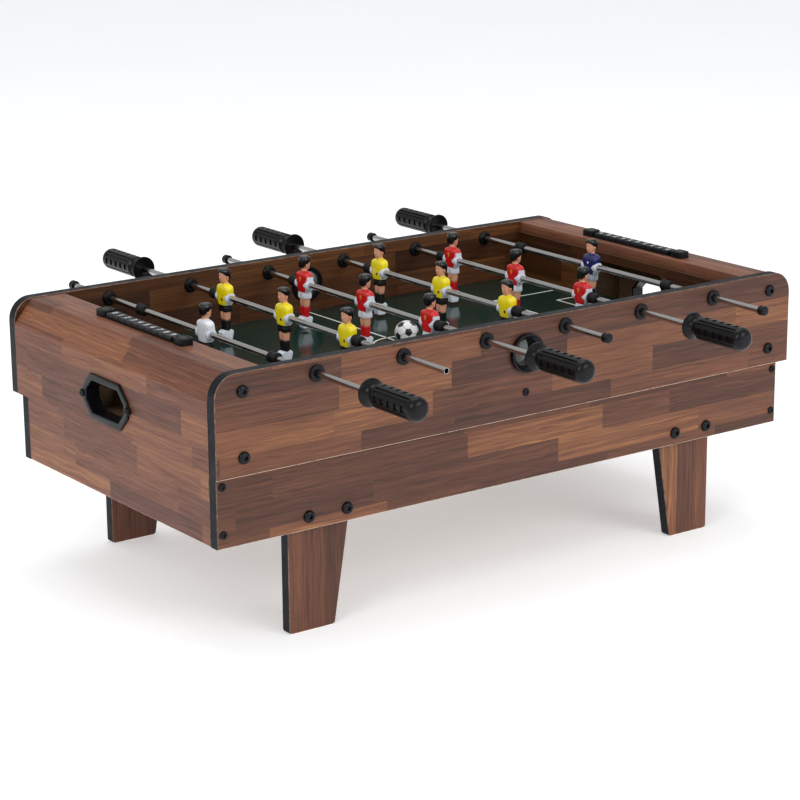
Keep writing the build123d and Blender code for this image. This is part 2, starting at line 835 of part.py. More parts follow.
for name, piece in zip(("front", "back"), both_sides(make_side_panel())):
    save(piece, f"side_panel_{name}")
for name, piece in zip(("front", "back"), both_sides(make_lower_side())):
    save(piece, f"lower_side_{name}")
for name, piece in zip(("left", "right"), both_ends(make_end_board())):
    save(piece, f"end_board_{name}")
for name, pieces in (("front", both_ends(make_leg())), ("back", both_ends(both_sides(make_leg())[1]))):
    save(gather(pieces), f"legs_{name}")

save(gather(both_ends(make_lower_end())), "lower_ends")
save(gather(both_ends(make_goal_wall())), "goal_walls")
save(make_field(), "playing_field")
save(gather(both_sides(make_batten())), "field_battens")
corner_blocks = [block for end in both_ends(make_corner_block()) for block in both_sides(end)]
save(gather(corner_blocks), "corner_blocks")
save(gather(both_ends(make_ball_tray())), "ball_trays")

save(gather(both_ends(make_return_ring())), "return_rings")
save(gather(both_sides(make_serve_cup()) + both_sides(make_serve_ring())), "serve_cups")
save(make_bolts(), "frame_bolts")
save(make_screws(), "small_screws")
save(make_bushes(), "rod_bushes")

save(gather(both_ends(make_score_rail())), "score_rails")
for name, piece in zip(("left", "right"), both_ends(make_beads())):
    save(piece, f"score_beads_{name}")
save(make_ball(), "ball")

grip = make_grip()
cap = make_cap()
player = make_player()
for rod in rods:
    at_rest = Location((rod.x, rod.rest_shift, rod_height))
    save(make_tube(rod).moved(at_rest), f"rod_{rod.number}_tube")
    save(make_bumpers(rod).moved(at_rest), f"rod_{rod.number}_bumpers")
    handle_turn = 0 if rod.handle_side > 0 else 180
    handle_place = Location((0, rod.handle_side * grip_reach, 0), (0, 0, handle_turn))
    save(grip.moved(handle_place).moved(at_rest), f"rod_{rod.number}_handle")
    if rod.capped:
        cap_place = Location((0, -rod.handle_side * rod_reach, 0), (0, 0, 180 - handle_turn))
        save(cap.moved(cap_place).moved(at_rest), f"rod_{rod.number}_cap")
    player_turn = 0 if rod.facing > 0 else 180
    for index, y in enumerate(rod.player_ys, start=1):
        player_place = Location((0, y, 0), (0, 0, player_turn))
        save(player.moved(player_place).moved(at_rest), f"{rod.team}_player_{rod.number}_{index}")
    low, high = -rod.travel - rod.rest_shift, rod.travel - rod.rest_shift
    print(f"rod {rod.number}: slides {low:.1f} to {high:.1f} mm")
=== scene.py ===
"""The looks of a tabletop foosball, modelled around its fixed CAD frame.

Lengths are in metres. X runs from goal to goal, Y along the rods and Z up, and the origin is on the
surface that the table stands on, under its middle.
"""

import logging
import math
from collections.abc import Callable, Iterator, Sequence
from contextlib import contextmanager
from dataclasses import dataclass
from enum import Enum
from itertools import pairwise

import bmesh
import bpy
from mathutils import Matrix, Quaternion, Vector


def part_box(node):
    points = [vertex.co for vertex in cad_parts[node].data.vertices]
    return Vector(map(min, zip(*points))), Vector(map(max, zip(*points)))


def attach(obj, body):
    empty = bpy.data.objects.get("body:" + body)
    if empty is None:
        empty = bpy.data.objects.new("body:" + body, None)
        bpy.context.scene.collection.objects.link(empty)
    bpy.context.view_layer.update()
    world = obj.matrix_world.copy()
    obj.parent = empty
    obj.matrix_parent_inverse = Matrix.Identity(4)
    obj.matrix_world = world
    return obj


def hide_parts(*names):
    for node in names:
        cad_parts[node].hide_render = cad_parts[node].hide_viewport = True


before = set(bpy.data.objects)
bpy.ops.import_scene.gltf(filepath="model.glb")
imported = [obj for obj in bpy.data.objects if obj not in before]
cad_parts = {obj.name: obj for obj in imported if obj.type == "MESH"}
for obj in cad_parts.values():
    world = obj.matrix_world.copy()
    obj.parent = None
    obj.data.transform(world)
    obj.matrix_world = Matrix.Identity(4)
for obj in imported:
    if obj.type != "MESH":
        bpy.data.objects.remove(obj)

MM = 0.001
WELD = 0.001 * MM
FONT_SIZE = 1.4  # size of the font for digits of height 1
log = logging.getLogger("foosball")

Colour = tuple[float, float, float, float]
Face = bpy.types.MeshPolygon
Piece = bpy.types.Object
Ring = tuple[float, float]


# ---- Places read from the frame ------------------------------------------------------------------
@dataclass(frozen=True)
class Box:
    """Lowest and highest corner of a piece."""

    low: Vector
    high: Vector

    @classmethod
    def of(cls, node: str) -> "Box":
        """The box of a CAD node at rest."""
        return cls(*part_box(node))

    @property
    def middle(self) -> Vector:
        """The centre of the box."""
        return (self.low + self.high) / 2

    @property
    def size(self) -> Vector:
        """The box's length along X, Y and Z."""
        return self.high - self.low


def solids_in(node: str) -> list[Box]:
    """Finds the separate solids that one CAD node holds.

    Args:
        node: name of the CAD node.

    Returns:
        The box of each solid, ordered by its middle along X, Y and Z.
    """
    shape = bmesh.new()
    shape.from_mesh(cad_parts[node].data)
    bmesh.ops.remove_doubles(shape, verts=shape.verts, dist=WELD)
    left = set(shape.verts)
    boxes = []
    while left:
        queue = [left.pop()]
        places = []
        while queue:
            vertex = queue.pop()
            places.append(vertex.co.copy())
            for edge in vertex.link_edges:
                other = edge.other_vert(vertex)
                if other in left:
                    left.remove(other)
                    queue.append(other)
        low = Vector(min(place[axis] for place in places) for axis in range(3))
        high = Vector(max(place[axis] for place in places) for axis in range(3))
        boxes.append(Box(low, high))
    shape.free()
    return sorted(boxes, key=lambda box: tuple(round(value, 4) for value in box.middle))


# ---- Modelling by hand ---------------------------------------------------------------------------
class Part(Enum):
    """What is picked in edit mode: the select mode and the mesh's own name for it."""

    VERTICES = ("VERT", "verts")
    EDGES = ("EDGE", "edges")
    FACES = ("FACE", "faces")


def select_only(*pieces: Piece) -> None:
    """Selects these pieces and nothing else, and makes the first one active.

    Args:
        pieces: what is selected.
    """
    bpy.ops.object.select_all(action="DESELECT")
    for piece in pieces:
        piece.select_set(True)
    bpy.context.view_layer.objects.active = pieces[0]


@contextmanager
def editing(piece: Piece) -> Iterator[None]:
    """Edit mode on one piece, with nothing picked at first.

    Args:
        piece: what is edited.
    """
    select_only(piece)
    bpy.ops.object.mode_set(mode="EDIT")
    bpy.ops.mesh.select_all(action="DESELECT")
    yield
    bpy.ops.object.mode_set(mode="OBJECT")


def pick(piece: Piece, part: Part, rule: Callable[..., bool]) -> None:
    """Picks the vertices, edges or faces of a piece in edit mode that a rule is true of.

    Args:
        piece: the piece that is in edit mode.
        part: what is picked.
        rule: takes one bmesh element.
    """
    mode, elements = part.value
    bpy.ops.mesh.select_mode(type=mode)
    bpy.ops.mesh.select_all(action="DESELECT")
    shape = bmesh.from_edit_mesh(piece.data)
    for element in getattr(shape, elements):
        if rule(element):
            element.select_set(True)
    bmesh.update_edit_mesh(piece.data)


def centre_of(edge: bmesh.types.BMEdge) -> Vector:
    """The middle of an edge."""
    return (edge.verts[0].co + edge.verts[1].co) / 2


def runs_along(edge: bmesh.types.BMEdge, axis: int) -> bool:
    """Whether an edge is parallel to X, Y or Z, given as 0, 1 or 2."""
    way = edge.verts[1].co - edge.verts[0].co
    return abs(way[axis]) > 0.999 * way.length


def face_outwards(piece: Piece) -> None:
    """Merges doubled vertices and turns every face of a closed shape outwards.

    Args:
        piece: a closed shape.
    """
    with editing(piece):
        bpy.ops.mesh.select_all(action="SELECT")
        bpy.ops.mesh.remove_doubles(threshold=WELD)
        bpy.ops.mesh.normals_make_consistent(inside=False)


def settle(piece: Piece, name: str = "") -> Piece:
    """Puts a piece's place, turn and size into its mesh, and names it.

    Args:
        piece: what is settled.
        name: its new name, or nothing to keep the old one.

    Returns:
        The same piece.
    """
    select_only(piece)
    bpy.ops.object.transform_apply(location=True, rotation=True, scale=True)
    if name:
        piece.name = name
        piece.data.name = name
    return piece


def block(name: str, low: Sequence[float], high: Sequence[float]) -> Piece:
    """A cube primitive that fills the box between two corners.

    Args:
        name: the block's name.
        low: its lowest corner.
        high: its highest corner.

    Returns:
        The block.
    """
    low, high = Vector(low), Vector(high)
    bpy.ops.object.select_all(action="DESELECT")
    bpy.ops.mesh.primitive_cube_add(size=1, location=(low + high) / 2, scale=high - low)
    return settle(bpy.context.active_object, name)


def sheet(name: str, middle: Sequence[float], length: float, width: float) -> Piece:
    """A level plane primitive with a length along X and a width along Y.

    Args:
        name: the plane's name.
        middle: its centre.
        length: its size along X.
        width: its size along Y.

    Returns:
        The plane.
    """
    bpy.ops.object.select_all(action="DESELECT")
    bpy.ops.mesh.primitive_plane_add(size=1, location=middle)
    bpy.context.active_object.scale = (length, width, 1)
    return settle(bpy.context.active_object, name)


def bevel(piece: Piece, rule: Callable[..., bool], width: float, steps: int = 1) -> None:
    """Bevels the edges of a piece that a rule is true of.

    Args:
        piece: what is bevelled.
        rule: takes one bmesh edge.
        width: the bevel's width.
        steps: how many faces the bevel has.
    """
    with editing(piece):
        pick(piece, Part.EDGES, rule)
        bpy.ops.mesh.bevel(offset=width, offset_type="OFFSET", segments=steps, clamp_overlap=True)


def turned(name: str, profile: Sequence[Ring], sides: int = 48, ring: bool = False) -> Piece:
    """Turns a profile about Z, as on a lathe: a circle is extruded and resized from ring to ring.

    Args:
        name: the piece's name.
        profile: height and radius of each ring.
        sides: how many sides a ring has.
        ring: whether the last ring joins the first, instead of both being closed by a face.

    Returns:
        The closed shape.
    """
    height, radius = profile[0]
    bpy.ops.object.select_all(action="DESELECT")
    bpy.ops.mesh.primitive_circle_add(vertices=sides, radius=radius, location=(0, 0, height))
    piece = settle(bpy.context.active_object, name)
    with editing(piece):
        bpy.ops.mesh.select_mode(type="EDGE")
        bpy.ops.mesh.select_all(action="SELECT")
        for (low, before), (high, after) in pairwise(profile):
            bpy.ops.mesh.extrude_edges_move(TRANSFORM_OT_translate={"value": (0, 0, high - low)})
            ratio = after / before
            bpy.ops.transform.resize(value=(ratio, ratio, 1), center_override=(0, 0, high))
        if ring:
            bpy.ops.mesh.select_non_manifold(extend=False)
            bpy.ops.mesh.bridge_edge_loops()
        else:
            bpy.ops.mesh.edge_face_add()
            bpy.ops.mesh.select_non_manifold(extend=False)
            bpy.ops.mesh.edge_face_add()
    face_outwards(piece)
    return piece


def arc(middle: tuple[float, float], radius: float, start: float, end: float, steps: int) -> list[Ring]:
    """Points of a round stretch of a profile, as (height, radius) pairs.

    Args:
        middle: height and radius of the arc's centre.
        radius: the arc's own radius.
        start: first angle in degrees, where 0 points outwards and 90 points up.
        end: last angle in degrees.
        steps: how many spans the arc has.

    Returns:
        Height and radius of each point.
    """
    points = []
    for step in range(steps + 1):
        angle = math.radians(start + (end - start) * step / steps)
        points.append((middle[0] + radius * math.sin(angle), middle[1] + radius * math.cos(angle)))
    return points


def with_modifier(piece: Piece, kind: str, **settings: object) -> Piece:
    """Adds a modifier with its settings and applies it.

    Args:
        piece: what is modified.
        kind: the modifier's type.
        settings: the modifier's own settings.

    Returns:
        The same piece.
    """
    select_only(piece)
    modifier = piece.modifiers.new(kind.lower(), kind)
    for name, value in settings.items():
        setattr(modifier, name, value)
    bpy.ops.object.modifier_apply(modifier=modifier.name)
    return piece


def joined(name: str, pieces: Sequence[Piece]) -> Piece:
    """Joins pieces into one, whose finishes stay with their own faces.

    Args:
        name: the joined piece's name.
        pieces: what is joined.

    Returns:
        The joined piece.
    """
    select_only(*pieces)
    if len(pieces) > 1:
        bpy.ops.object.join()
    return settle(bpy.context.active_object, name)


def cut(piece: Piece, cutters: Sequence[Piece]) -> Piece:
    """Takes the space of the cutters out of a piece.

    Args:
        piece: what is cut.
        cutters: closed shapes, which are used up.

    Returns:
        The same piece.
    """
    cutter = joined("cutter", cutters)
    with_modifier(piece, "BOOLEAN", operation="DIFFERENCE", solver="EXACT", object=cutter)
    bpy.data.objects.remove(cutter)
    return piece


def copied(piece: Piece, name: str, move: Matrix) -> Piece:
    """A copy of a piece with its own mesh, moved by a matrix.

    Args:
        piece: the pattern.
        name: the copy's name.
        move: where the copy goes.

    Returns:
        The copy.
    """
    twin = piece.copy()
    twin.data = piece.data.copy()
    twin.name = name
    twin.data.name = name
    bpy.context.collection.objects.link(twin)
    twin.data.transform(move)
    if move.determinant() < 0:
        twin.data.flip_normals()
    return twin


def moved(piece: Piece, move: Matrix) -> Piece:
    """Moves a piece's mesh by a matrix.

    Args:
        piece: what is moved.
        move: where it goes.

    Returns:
        The same piece.
    """
    piece.data.transform(move)
    if move.determinant() < 0:
        piece.data.flip_normals()
    return piece


def discard(*pieces: Piece) -> None:
    """Deletes patterns that were only copied from."""
    for piece in pieces:
        bpy.data.objects.remove(piece)


def lettering(text: str, height: float, depth: float) -> Piece:
    """Raised letters about the origin, facing up, whose body height and thickness are given.

    Args:
        text: what they say.
        height: height of a digit.
        depth: half of their thickness.

    Returns:
        The letters as one closed mesh.
    """
    bpy.ops.object.select_all(action="DESELECT")
    bpy.ops.object.text_add()
    letters = bpy.context.active_object
    letters.data.body = text
    letters.data.size = height * FONT_SIZE
    letters.data.align_x = "CENTER"
    letters.data.align_y = "CENTER"
    letters.data.extrude = depth
    letters.data.resolution_u = 4
    bpy.ops.object.convert(target="MESH")
    face_outwards(bpy.context.active_object)
    return bpy.context.active_object


def smooth(piece: Piece, degrees: float = 35) -> Piece:
    """Shades a piece smooth, apart from edges sharper than an angle.

    Args:
        piece: what is shaded.
        degrees: the angle.

    Returns:
        The same piece.
    """
    select_only(piece)
    bpy.ops.object.shade_smooth_by_angle(angle=math.radians(degrees))
    return piece


def along_y(x: float, y: float, z: float, side: int) -> Matrix:
    """Places a piece that was made about Z so that its top points along Y, to +Y or to -Y."""
    return Matrix.Translation((x, y, z)) @ Matrix.Rotation(math.radians(-90 * side), 4, "X")


# ---- Finishes ------------------------------------------------------------------------------------
def linear(code: str) -> Colour:
    """Turns an sRGB hex colour, such as "#a07040", into linear RGBA.

    Args:
        code: the hex colour.

    Returns:
        The linear colour, fully opaque.
    """
    channels = [int(code[start:start + 2], 16) / 255 for start in (1, 3, 5)]
    curved = [c / 12.92 if c <= 0.04045 else ((c + 0.055) / 1.055) ** 2.4 for c in channels]
    return (*curved, 1.0)


def add_node(
    tree: bpy.types.NodeTree,
    kind: str,
    inputs: dict | None = None,
    stops: Sequence[tuple[float, str]] = (),
    **settings: object,
) -> bpy.types.Node:
    """Adds one node to a material.

    Args:
        tree: the material's node tree.
        kind: the node's type name without its "ShaderNode" start.
        inputs: what each input takes: a value, a socket, or a node whose first output is meant.
        stops: positions and sRGB hex colours of a colour ramp.
        settings: the node's own settings.

    Returns:
        The new node.
    """
    node = tree.nodes.new("ShaderNode" + kind)
    for name, value in settings.items():
        setattr(node, name, value)
    for index, (position, code) in enumerate(stops):
        elements = node.color_ramp.elements
        element = elements[index] if index < 2 else elements.new(position)
        element.position = position
        element.color = linear(code)
    for socket, value in (inputs or {}).items():
        if isinstance(value, bpy.types.Node):
            value = value.outputs[0]
        if isinstance(value, bpy.types.NodeSocket):
            tree.links.new(value, node.inputs[socket])
        else:
            node.inputs[socket].default_value = value
    return node


class Finish:
    """One procedural material, made the first time that it is used."""

    name: str

    def material(self) -> bpy.types.Material:
        """The finish as a Blender material.

        Returns:
            The material, shared by every piece that has this finish.
        """
        known = bpy.data.materials.get(self.name)
        if known:
            return known
        made = bpy.data.materials.new(self.name)
        made.use_nodes = True
        shader = made.node_tree.nodes["Principled BSDF"]
        self.dress(made.node_tree, shader)
        return made

    def dress(self, tree: bpy.types.NodeTree, shader: bpy.types.Node) -> None:
        """Adds the finish's nodes and sets the shader."""
        raise NotImplementedError


class Grain(Enum):
    """Which way the staves of a laminated board run."""

    ALONG_X = 0
    ALONG_Y = 1
    UPRIGHT = 2


# Colours of the printed staves, from dark to light: on the faces; on the ends, lighter and pinker, the
# lightness being painted light; on the insides, darker with painted shade.
FACE_TONES = ("#40281f", "#573629", "#6a4230", "#7d5037", "#9c6a42")
LIT_END_TONES = ("#4d2e23", "#643d2e", "#764936", "#8f5d3f", "#af754a")
SHADED_INSIDE_TONES = ("#291409", "#3d210f", "#4d2d16", "#5d381d", "#774920")


@dataclass(frozen=True)
class WalnutLaminate(Finish):
    """Walnut butcher-block print under a satin melamine overlay, pressed on fibreboard.

    The eye sees staves of uneven length and tone, laid in rows, with long soft grain lines, short
    dark pores and a low satin sheen.
    """

    name: str
    grain: Grain
    start: float = 0.0
    tones: tuple[str, ...] = FACE_TONES
    stave_width: float = 24 * MM
    stave_length: float = 150 * MM
    figure_length: float = 170 * MM
    figure_width: float = 3.2 * MM
    pore_length: float = 45 * MM
    pore_width: float = 1.2 * MM

    def dress(self, tree: bpy.types.NodeTree, shader: bpy.types.Node) -> None:
        """Adds rows, staves, grain figure and pores.

        Args:
            tree: the material's node tree.
            shader: its Principled shader.
        """
        place = add_node(tree, "SeparateXYZ", {0: add_node(tree, "TexCoord").outputs["Object"]})
        x, y, z = place.outputs
        if self.grain is Grain.ALONG_X:
            along, across = x, z
        elif self.grain is Grain.UPRIGHT:
            along, across = z, x
        else:
            reach = add_node(tree, "Math", {0: x}, operation="ABSOLUTE")
            along, across = y, add_node(tree, "Math", {0: z, 1: reach}, operation="SUBTRACT")
        rows = add_node(tree, "Math", {0: across, 1: self.stave_width}, operation="DIVIDE")
        rows = add_node(tree, "Math", {0: rows, 1: self.start}, operation="ADD")
        row = add_node(tree, "Math", {0: rows}, operation="FLOOR")
        lengths = add_node(tree, "Math", {0: along, 1: self.stave_length}, operation="DIVIDE")
        staves = add_node(tree, "Math", {0: row, 1: 31.73, 2: lengths}, operation="MULTIPLY_ADD")
        stave = add_node(tree, "TexVoronoi", {"W": staves, "Scale": 1.0}, voronoi_dimensions="1D")
        chance = add_node(tree, "SeparateColor", {0: stave.outputs["Color"]})
        seed = add_node(tree, "Math", {0: chance.outputs[2], 1: 60.0}, operation="MULTIPLY")
        lines = add_node(tree, "CombineXYZ", {0: along, 1: across, 2: seed})
        drift = add_node(
            tree,
            "TexNoise",
            {"Vector": add_node(tree, "VectorMath", {0: lines, 1: (5, 30, 1)}, operation="MULTIPLY")},
        )
        bent = add_node(tree, "Math", {0: drift, 1: 7 * MM, 2: across}, operation="MULTIPLY_ADD")
        flow = add_node(tree, "CombineXYZ", {0: along, 1: bent, 2: seed})
        spread = (1 / self.figure_length, 1 / self.figure_width, 1.0)
        figure = add_node(
            tree,
            "TexNoise",
            {
                "Vector": add_node(tree, "VectorMath", {0: flow, 1: spread}, operation="MULTIPLY"),
                "Scale": 1.0,
                "Detail": 5.0,
                "Roughness": 0.62,
            },
        )
        spread = (1 / self.pore_length, 1 / self.pore_width, 1.0)
        pores = add_node(
            tree,
            "TexNoise",
            {
                "Vector": add_node(tree, "VectorMath", {0: flow, 1: spread}, operation="MULTIPLY"),
                "Scale": 1.0,
                "Detail": 2.0,
            },
        )
        wave = add_node(tree, "MapRange", {0: figure, 1: 0.25, 2: 0.75, 3: -0.08, 4: 0.48})
        level = add_node(tree, "Math", {0: chance.outputs[0], 1: 0.62, 2: wave}, operation="MULTIPLY_ADD")
        steps = [0, 1, 0.3, 0.55, 0.8]
        codes = [self.tones[0], self.tones[-1], *self.tones[1:-1]]
        tone = add_node(tree, "ValToRGB", {0: level}, stops=list(zip(steps, codes)))
        pits = add_node(tree, "MapRange", {0: pores, 1: 0.3, 2: 0.6, 3: 0.72, 4: 1.08})
        colour = add_node(tree, "VectorMath", {0: tone, "Scale": pits}, operation="SCALE")
        tree.links.new(colour.outputs[0], shader.inputs["Base Color"])
        shader.inputs["Specular IOR Level"].default_value = 0.3
        gloss = add_node(tree, "MapRange", {0: pores, 1: 0.3, 2: 0.6, 3: 0.52, 4: 0.4})
        tree.links.new(gloss.outputs[0], shader.inputs["Roughness"])
        bump = add_node(tree, "Bump", {"Strength": 0.25, "Distance": 0.12 * MM, "Height": pores})
        tree.links.new(bump.outputs[0], shader.inputs["Normal"])


@dataclass(frozen=True)
class MouldedSkin(Finish):
    """A moulded, extruded or painted surface: one colour, faintly clouded, over a fine grit.

    The grit is drawn coarser than the real spark-eroded one, so that it shows.
    """

    name: str
    colour: str
    roughness: float = 0.4
    clouding: float = 0.06
    cloud: float = 14 * MM
    grit: float = 0.6 * MM
    relief: float = 0.03 * MM
    specular: float = 0.5
    coat: float = 0.0

    def dress(self, tree: bpy.types.NodeTree, shader: bpy.types.Node) -> None:
        """Adds clouded colour and roughness, and the grit.

        Args:
            tree: the material's node tree.
            shader: its Principled shader.
        """
        spot = add_node(tree, "TexCoord").outputs["Object"]
        haze = add_node(tree, "TexNoise", {"Vector": spot, "Scale": 1 / self.cloud, "Detail": 3.0})
        level = add_node(
            tree, "MapRange", {0: haze, 1: 0.3, 2: 0.7, 3: 1 - self.clouding, 4: 1 + self.clouding}
        )
        base = add_node(tree, "VectorMath", {0: linear(self.colour)[:3], "Scale": level}, operation="SCALE")
        tree.links.new(base.outputs[0], shader.inputs["Base Color"])
        low, high = self.roughness * 0.85, self.roughness * 1.15
        gloss = add_node(tree, "MapRange", {0: haze, 1: 0.3, 2: 0.7, 3: low, 4: high})
        tree.links.new(gloss.outputs[0], shader.inputs["Roughness"])
        grit = add_node(tree, "TexNoise", {"Vector": spot, "Scale": 1 / self.grit, "Detail": 1.0})
        bump = add_node(tree, "Bump", {"Strength": 0.5, "Distance": self.relief, "Height": grit})
        tree.links.new(bump.outputs[0], shader.inputs["Normal"])
        shader.inputs["Specular IOR Level"].default_value = self.specular
        shader.inputs["Coat Weight"].default_value = self.coat
        shader.inputs["Coat Roughness"].default_value = 0.12


@dataclass(frozen=True)
class DrawnSteel(Finish):
    """Plated or blackened steel with faint lines along the way that it was drawn, which is Y."""

    name: str
    colour: str
    roughness: float
    line_width: float = 0.5 * MM
    line_length: float = 40 * MM

    def dress(self, tree: bpy.types.NodeTree, shader: bpy.types.Node) -> None:
        """Adds drawing lines to the roughness and a faint relief.

        Args:
            tree: the material's node tree.
            shader: its Principled shader.
        """
        spot = add_node(tree, "TexCoord").outputs["Object"]
        spread = (1 / self.line_width, 1 / self.line_length, 1 / self.line_width)
        stretched = add_node(tree, "VectorMath", {0: spot, 1: spread}, operation="MULTIPLY")
        lines = add_node(tree, "TexNoise", {"Vector": stretched, "Scale": 1.0, "Detail": 3.0})
        low, high = self.roughness * 0.7, self.roughness * 1.5
        gloss = add_node(tree, "MapRange", {0: lines, 1: 0.3, 2: 0.7, 3: low, 4: high})
        tree.links.new(gloss.outputs[0], shader.inputs["Roughness"])
        level = add_node(tree, "MapRange", {0: lines, 1: 0.3, 2: 0.7, 3: 0.9, 4: 1.05})
        base = add_node(tree, "VectorMath", {0: linear(self.colour)[:3], "Scale": level}, operation="SCALE")
        tree.links.new(base.outputs[0], shader.inputs["Base Color"])
        bump = add_node(tree, "Bump", {"Strength": 0.2, "Distance": 0.02 * MM, "Height": lines})
        tree.links.new(bump.outputs[0], shader.inputs["Normal"])
        shader.inputs["Metallic"].default_value = 1.0


@dataclass(frozen=True)
class PressedFibre(Finish):
    """Raw medium-density fibreboard or sawn pine: short fibres or long grain, quite matt."""

    name: str
    light: str
    dark: str
    fibre: tuple[float, float, float]

    def dress(self, tree: bpy.types.NodeTree, shader: bpy.types.Node) -> None:
        """Adds fibres that are longest where their size is largest.

        Args:
            tree: the material's node tree.
            shader: its Principled shader.
        """
        spot = add_node(tree, "TexCoord").outputs["Object"]
        spread = tuple(1 / size for size in self.fibre)
        stretched = add_node(tree, "VectorMath", {0: spot, 1: spread}, operation="MULTIPLY")
        fibres = add_node(tree, "TexNoise", {"Vector": stretched, "Scale": 1.0, "Detail": 4.0})
        tone = add_node(tree, "ValToRGB", {0: fibres}, stops=[(0.3, self.dark), (0.7, self.light)])
        tree.links.new(tone.outputs[0], shader.inputs["Base Color"])
        bump = add_node(tree, "Bump", {"Strength": 0.4, "Distance": 0.1 * MM, "Height": fibres})
        tree.links.new(bump.outputs[0], shader.inputs["Normal"])
        shader.inputs["Roughness"].default_value = 0.8


@dataclass(frozen=True)
class ChippedArris(Finish):
    """The sharp edge of a laminated board, patched with a pale colour: the core where the print has rubbed
    through, and a painted highlight on edges that are not worn.
    """

    name: str
    # worn is the share of pale and core is its colour; on edges that are not worn, both stand for a painted
    # highlight.
    worn: float
    core: str
    patch: float = 9 * MM

    def dress(self, tree: bpy.types.NodeTree, shader: bpy.types.Node) -> None:
        """Mixes the walnut print and the pale colour in uneven patches.

        Args:
            tree: the material's node tree.
            shader: its Principled shader.
        """
        spot = add_node(tree, "TexCoord").outputs["Object"]
        chips = add_node(
            tree, "TexNoise", {"Vector": spot, "Scale": 1 / self.patch, "Detail": 5.0, "Roughness": 0.7}
        )
        edge = 0.62 - 0.3 * self.worn
        tone = add_node(
            tree,
            "ValToRGB",
            {0: chips},
            stops=[(edge - 0.1, "#5c4135"), (edge + 0.1, self.core)],
        )
        tree.links.new(tone.outputs[0], shader.inputs["Base Color"])
        shader.inputs["Roughness"].default_value = 0.6


@dataclass(frozen=True)
class GlowingPaper(Finish):
    """Seamless white studio paper, lifted by the light that it passes on from below."""

    name: str
    glow: float
    cloud: float = 400 * MM

    def dress(self, tree: bpy.types.NodeTree, shader: bpy.types.Node) -> None:
        """Adds a very faint clouding and the glow.

        Args:
            tree: the material's node tree.
            shader: its Principled shader.
        """
        spot = add_node(tree, "TexCoord").outputs["Object"]
        haze = add_node(tree, "TexNoise", {"Vector": spot, "Scale": 1 / self.cloud})
        tone = add_node(tree, "ValToRGB", {0: haze}, stops=[(0.3, "#f1f1f1"), (0.7, "#f4f4f4")])
        tree.links.new(tone.outputs[0], shader.inputs["Base Color"])
        shader.inputs["Roughness"].default_value = 0.7
        shader.inputs["Emission Color"].default_value = linear("#f6faff")
        shader.inputs["Emission Strength"].default_value = self.glow


@dataclass(frozen=True)
class FieldFoil(Finish):
    """Glossy printed foil on the playing field: a deep green, faintly mottled like turf."""

    name: str
    mottle: float = 5 * MM
    ripple: float = 60 * MM

    def dress(self, tree: bpy.types.NodeTree, shader: bpy.types.Node) -> None:
        """Adds the printed mottle and a slow ripple that bends the reflections.

        Args:
            tree: the material's node tree.
            shader: its Principled shader.
        """
        spot = add_node(tree, "TexCoord").outputs["Object"]
        turf = add_node(tree, "TexNoise", {"Vector": spot, "Scale": 1 / self.mottle, "Detail": 5.0})
        tone = add_node(tree, "ValToRGB", {0: turf}, stops=[(0.3, "#0b2420"), (0.7, "#12332b")])
        tree.links.new(tone.outputs[0], shader.inputs["Base Color"])
        wave = add_node(tree, "TexNoise", {"Vector": spot, "Scale": 1 / self.ripple, "Detail": 1.0})
        bump = add_node(tree, "Bump", {"Strength": 0.15, "Distance": 0.5 * MM, "Height": wave})
        tree.links.new(bump.outputs[0], shader.inputs["Normal"])
        shader.inputs["Roughness"].default_value = 0.14


# Printed laminate: warm brown staves, whose rows start elsewhere on each board so that none match.
WALNUT_SIDE = WalnutLaminate("walnut_laminate_side", Grain.ALONG_X, 0.2)
WALNUT_SKIRT = WalnutLaminate("walnut_laminate_skirt", Grain.ALONG_X, 7.35)
WALNUT_BACK = WalnutLaminate("walnut_laminate_back", Grain.ALONG_X, 23.2)
# Inside walls: the same print in darker tones, as painted shade.
WALNUT_INSIDE_SHADED = WalnutLaminate("walnut_laminate_inside_painted_shade", Grain.ALONG_X, 41.6, SHADED_INSIDE_TONES)
# End boards: the same print in lighter tones, as painted light.
WALNUT_END_LIT = WalnutLaminate("walnut_laminate_end_painted_light", Grain.ALONG_Y, 3.1, LIT_END_TONES)
# Goal walls: the darker inside tones, as painted shade.
WALNUT_GOAL_SHADED = WalnutLaminate("walnut_laminate_goal_painted_shade", Grain.ALONG_Y, 16.4, SHADED_INSIDE_TONES)
WALNUT_LEG = WalnutLaminate("walnut_laminate_leg", Grain.UPRIGHT, 5.05, stave_length=420 * MM)
# Extruded PVC edge banding: a satin black outline, faintly blue beside the wood.
EDGE_BAND = MouldedSkin("pvc_edge_banding", "#101219", 0.5, grit=0.9 * MM, specular=0.15)
# Laminate edges: a broken pale line of rubbed-through wear along the lower edge, and elsewhere a faint pale
# line that is a painted highlight.
ARRIS_WORN = ChippedArris("laminate_arris_worn", 0.75, "#cdb7a4")
ARRIS_SHEEN = ChippedArris("laminate_arris_painted_highlight", 0.2, "#86705f")
# Sawn fibreboard and hardboard: matt, short-fibred browns on faces without laminate; the hardboard browns
# are darkened as painted shade.
RAW_BOARD = PressedFibre("fibreboard_sawn", "#b0916c", "#8a6c4b", (2.5 * MM, 2.5 * MM, 0.8 * MM))
TRAY_BOARD_SHADED = PressedFibre("hardboard_tray_painted_shade", "#6d5437", "#4d3925", (1.5 * MM, 1.5 * MM, 1.5 * MM))
# Sawn pine: pale wood with long grain.
PINE = PressedFibre("pine_sawn", "#d8b98a", "#b58f5c", (60 * MM, 2.2 * MM, 2.2 * MM))
# Printed foil and its ink: a deep green that mirrors the players, under crisp white lines.
FIELD_GREEN = FieldFoil("field_foil_green")
FIELD_LINE = MouldedSkin("field_line_ink", "#e4e7e2", 0.3, clouding=0.04)
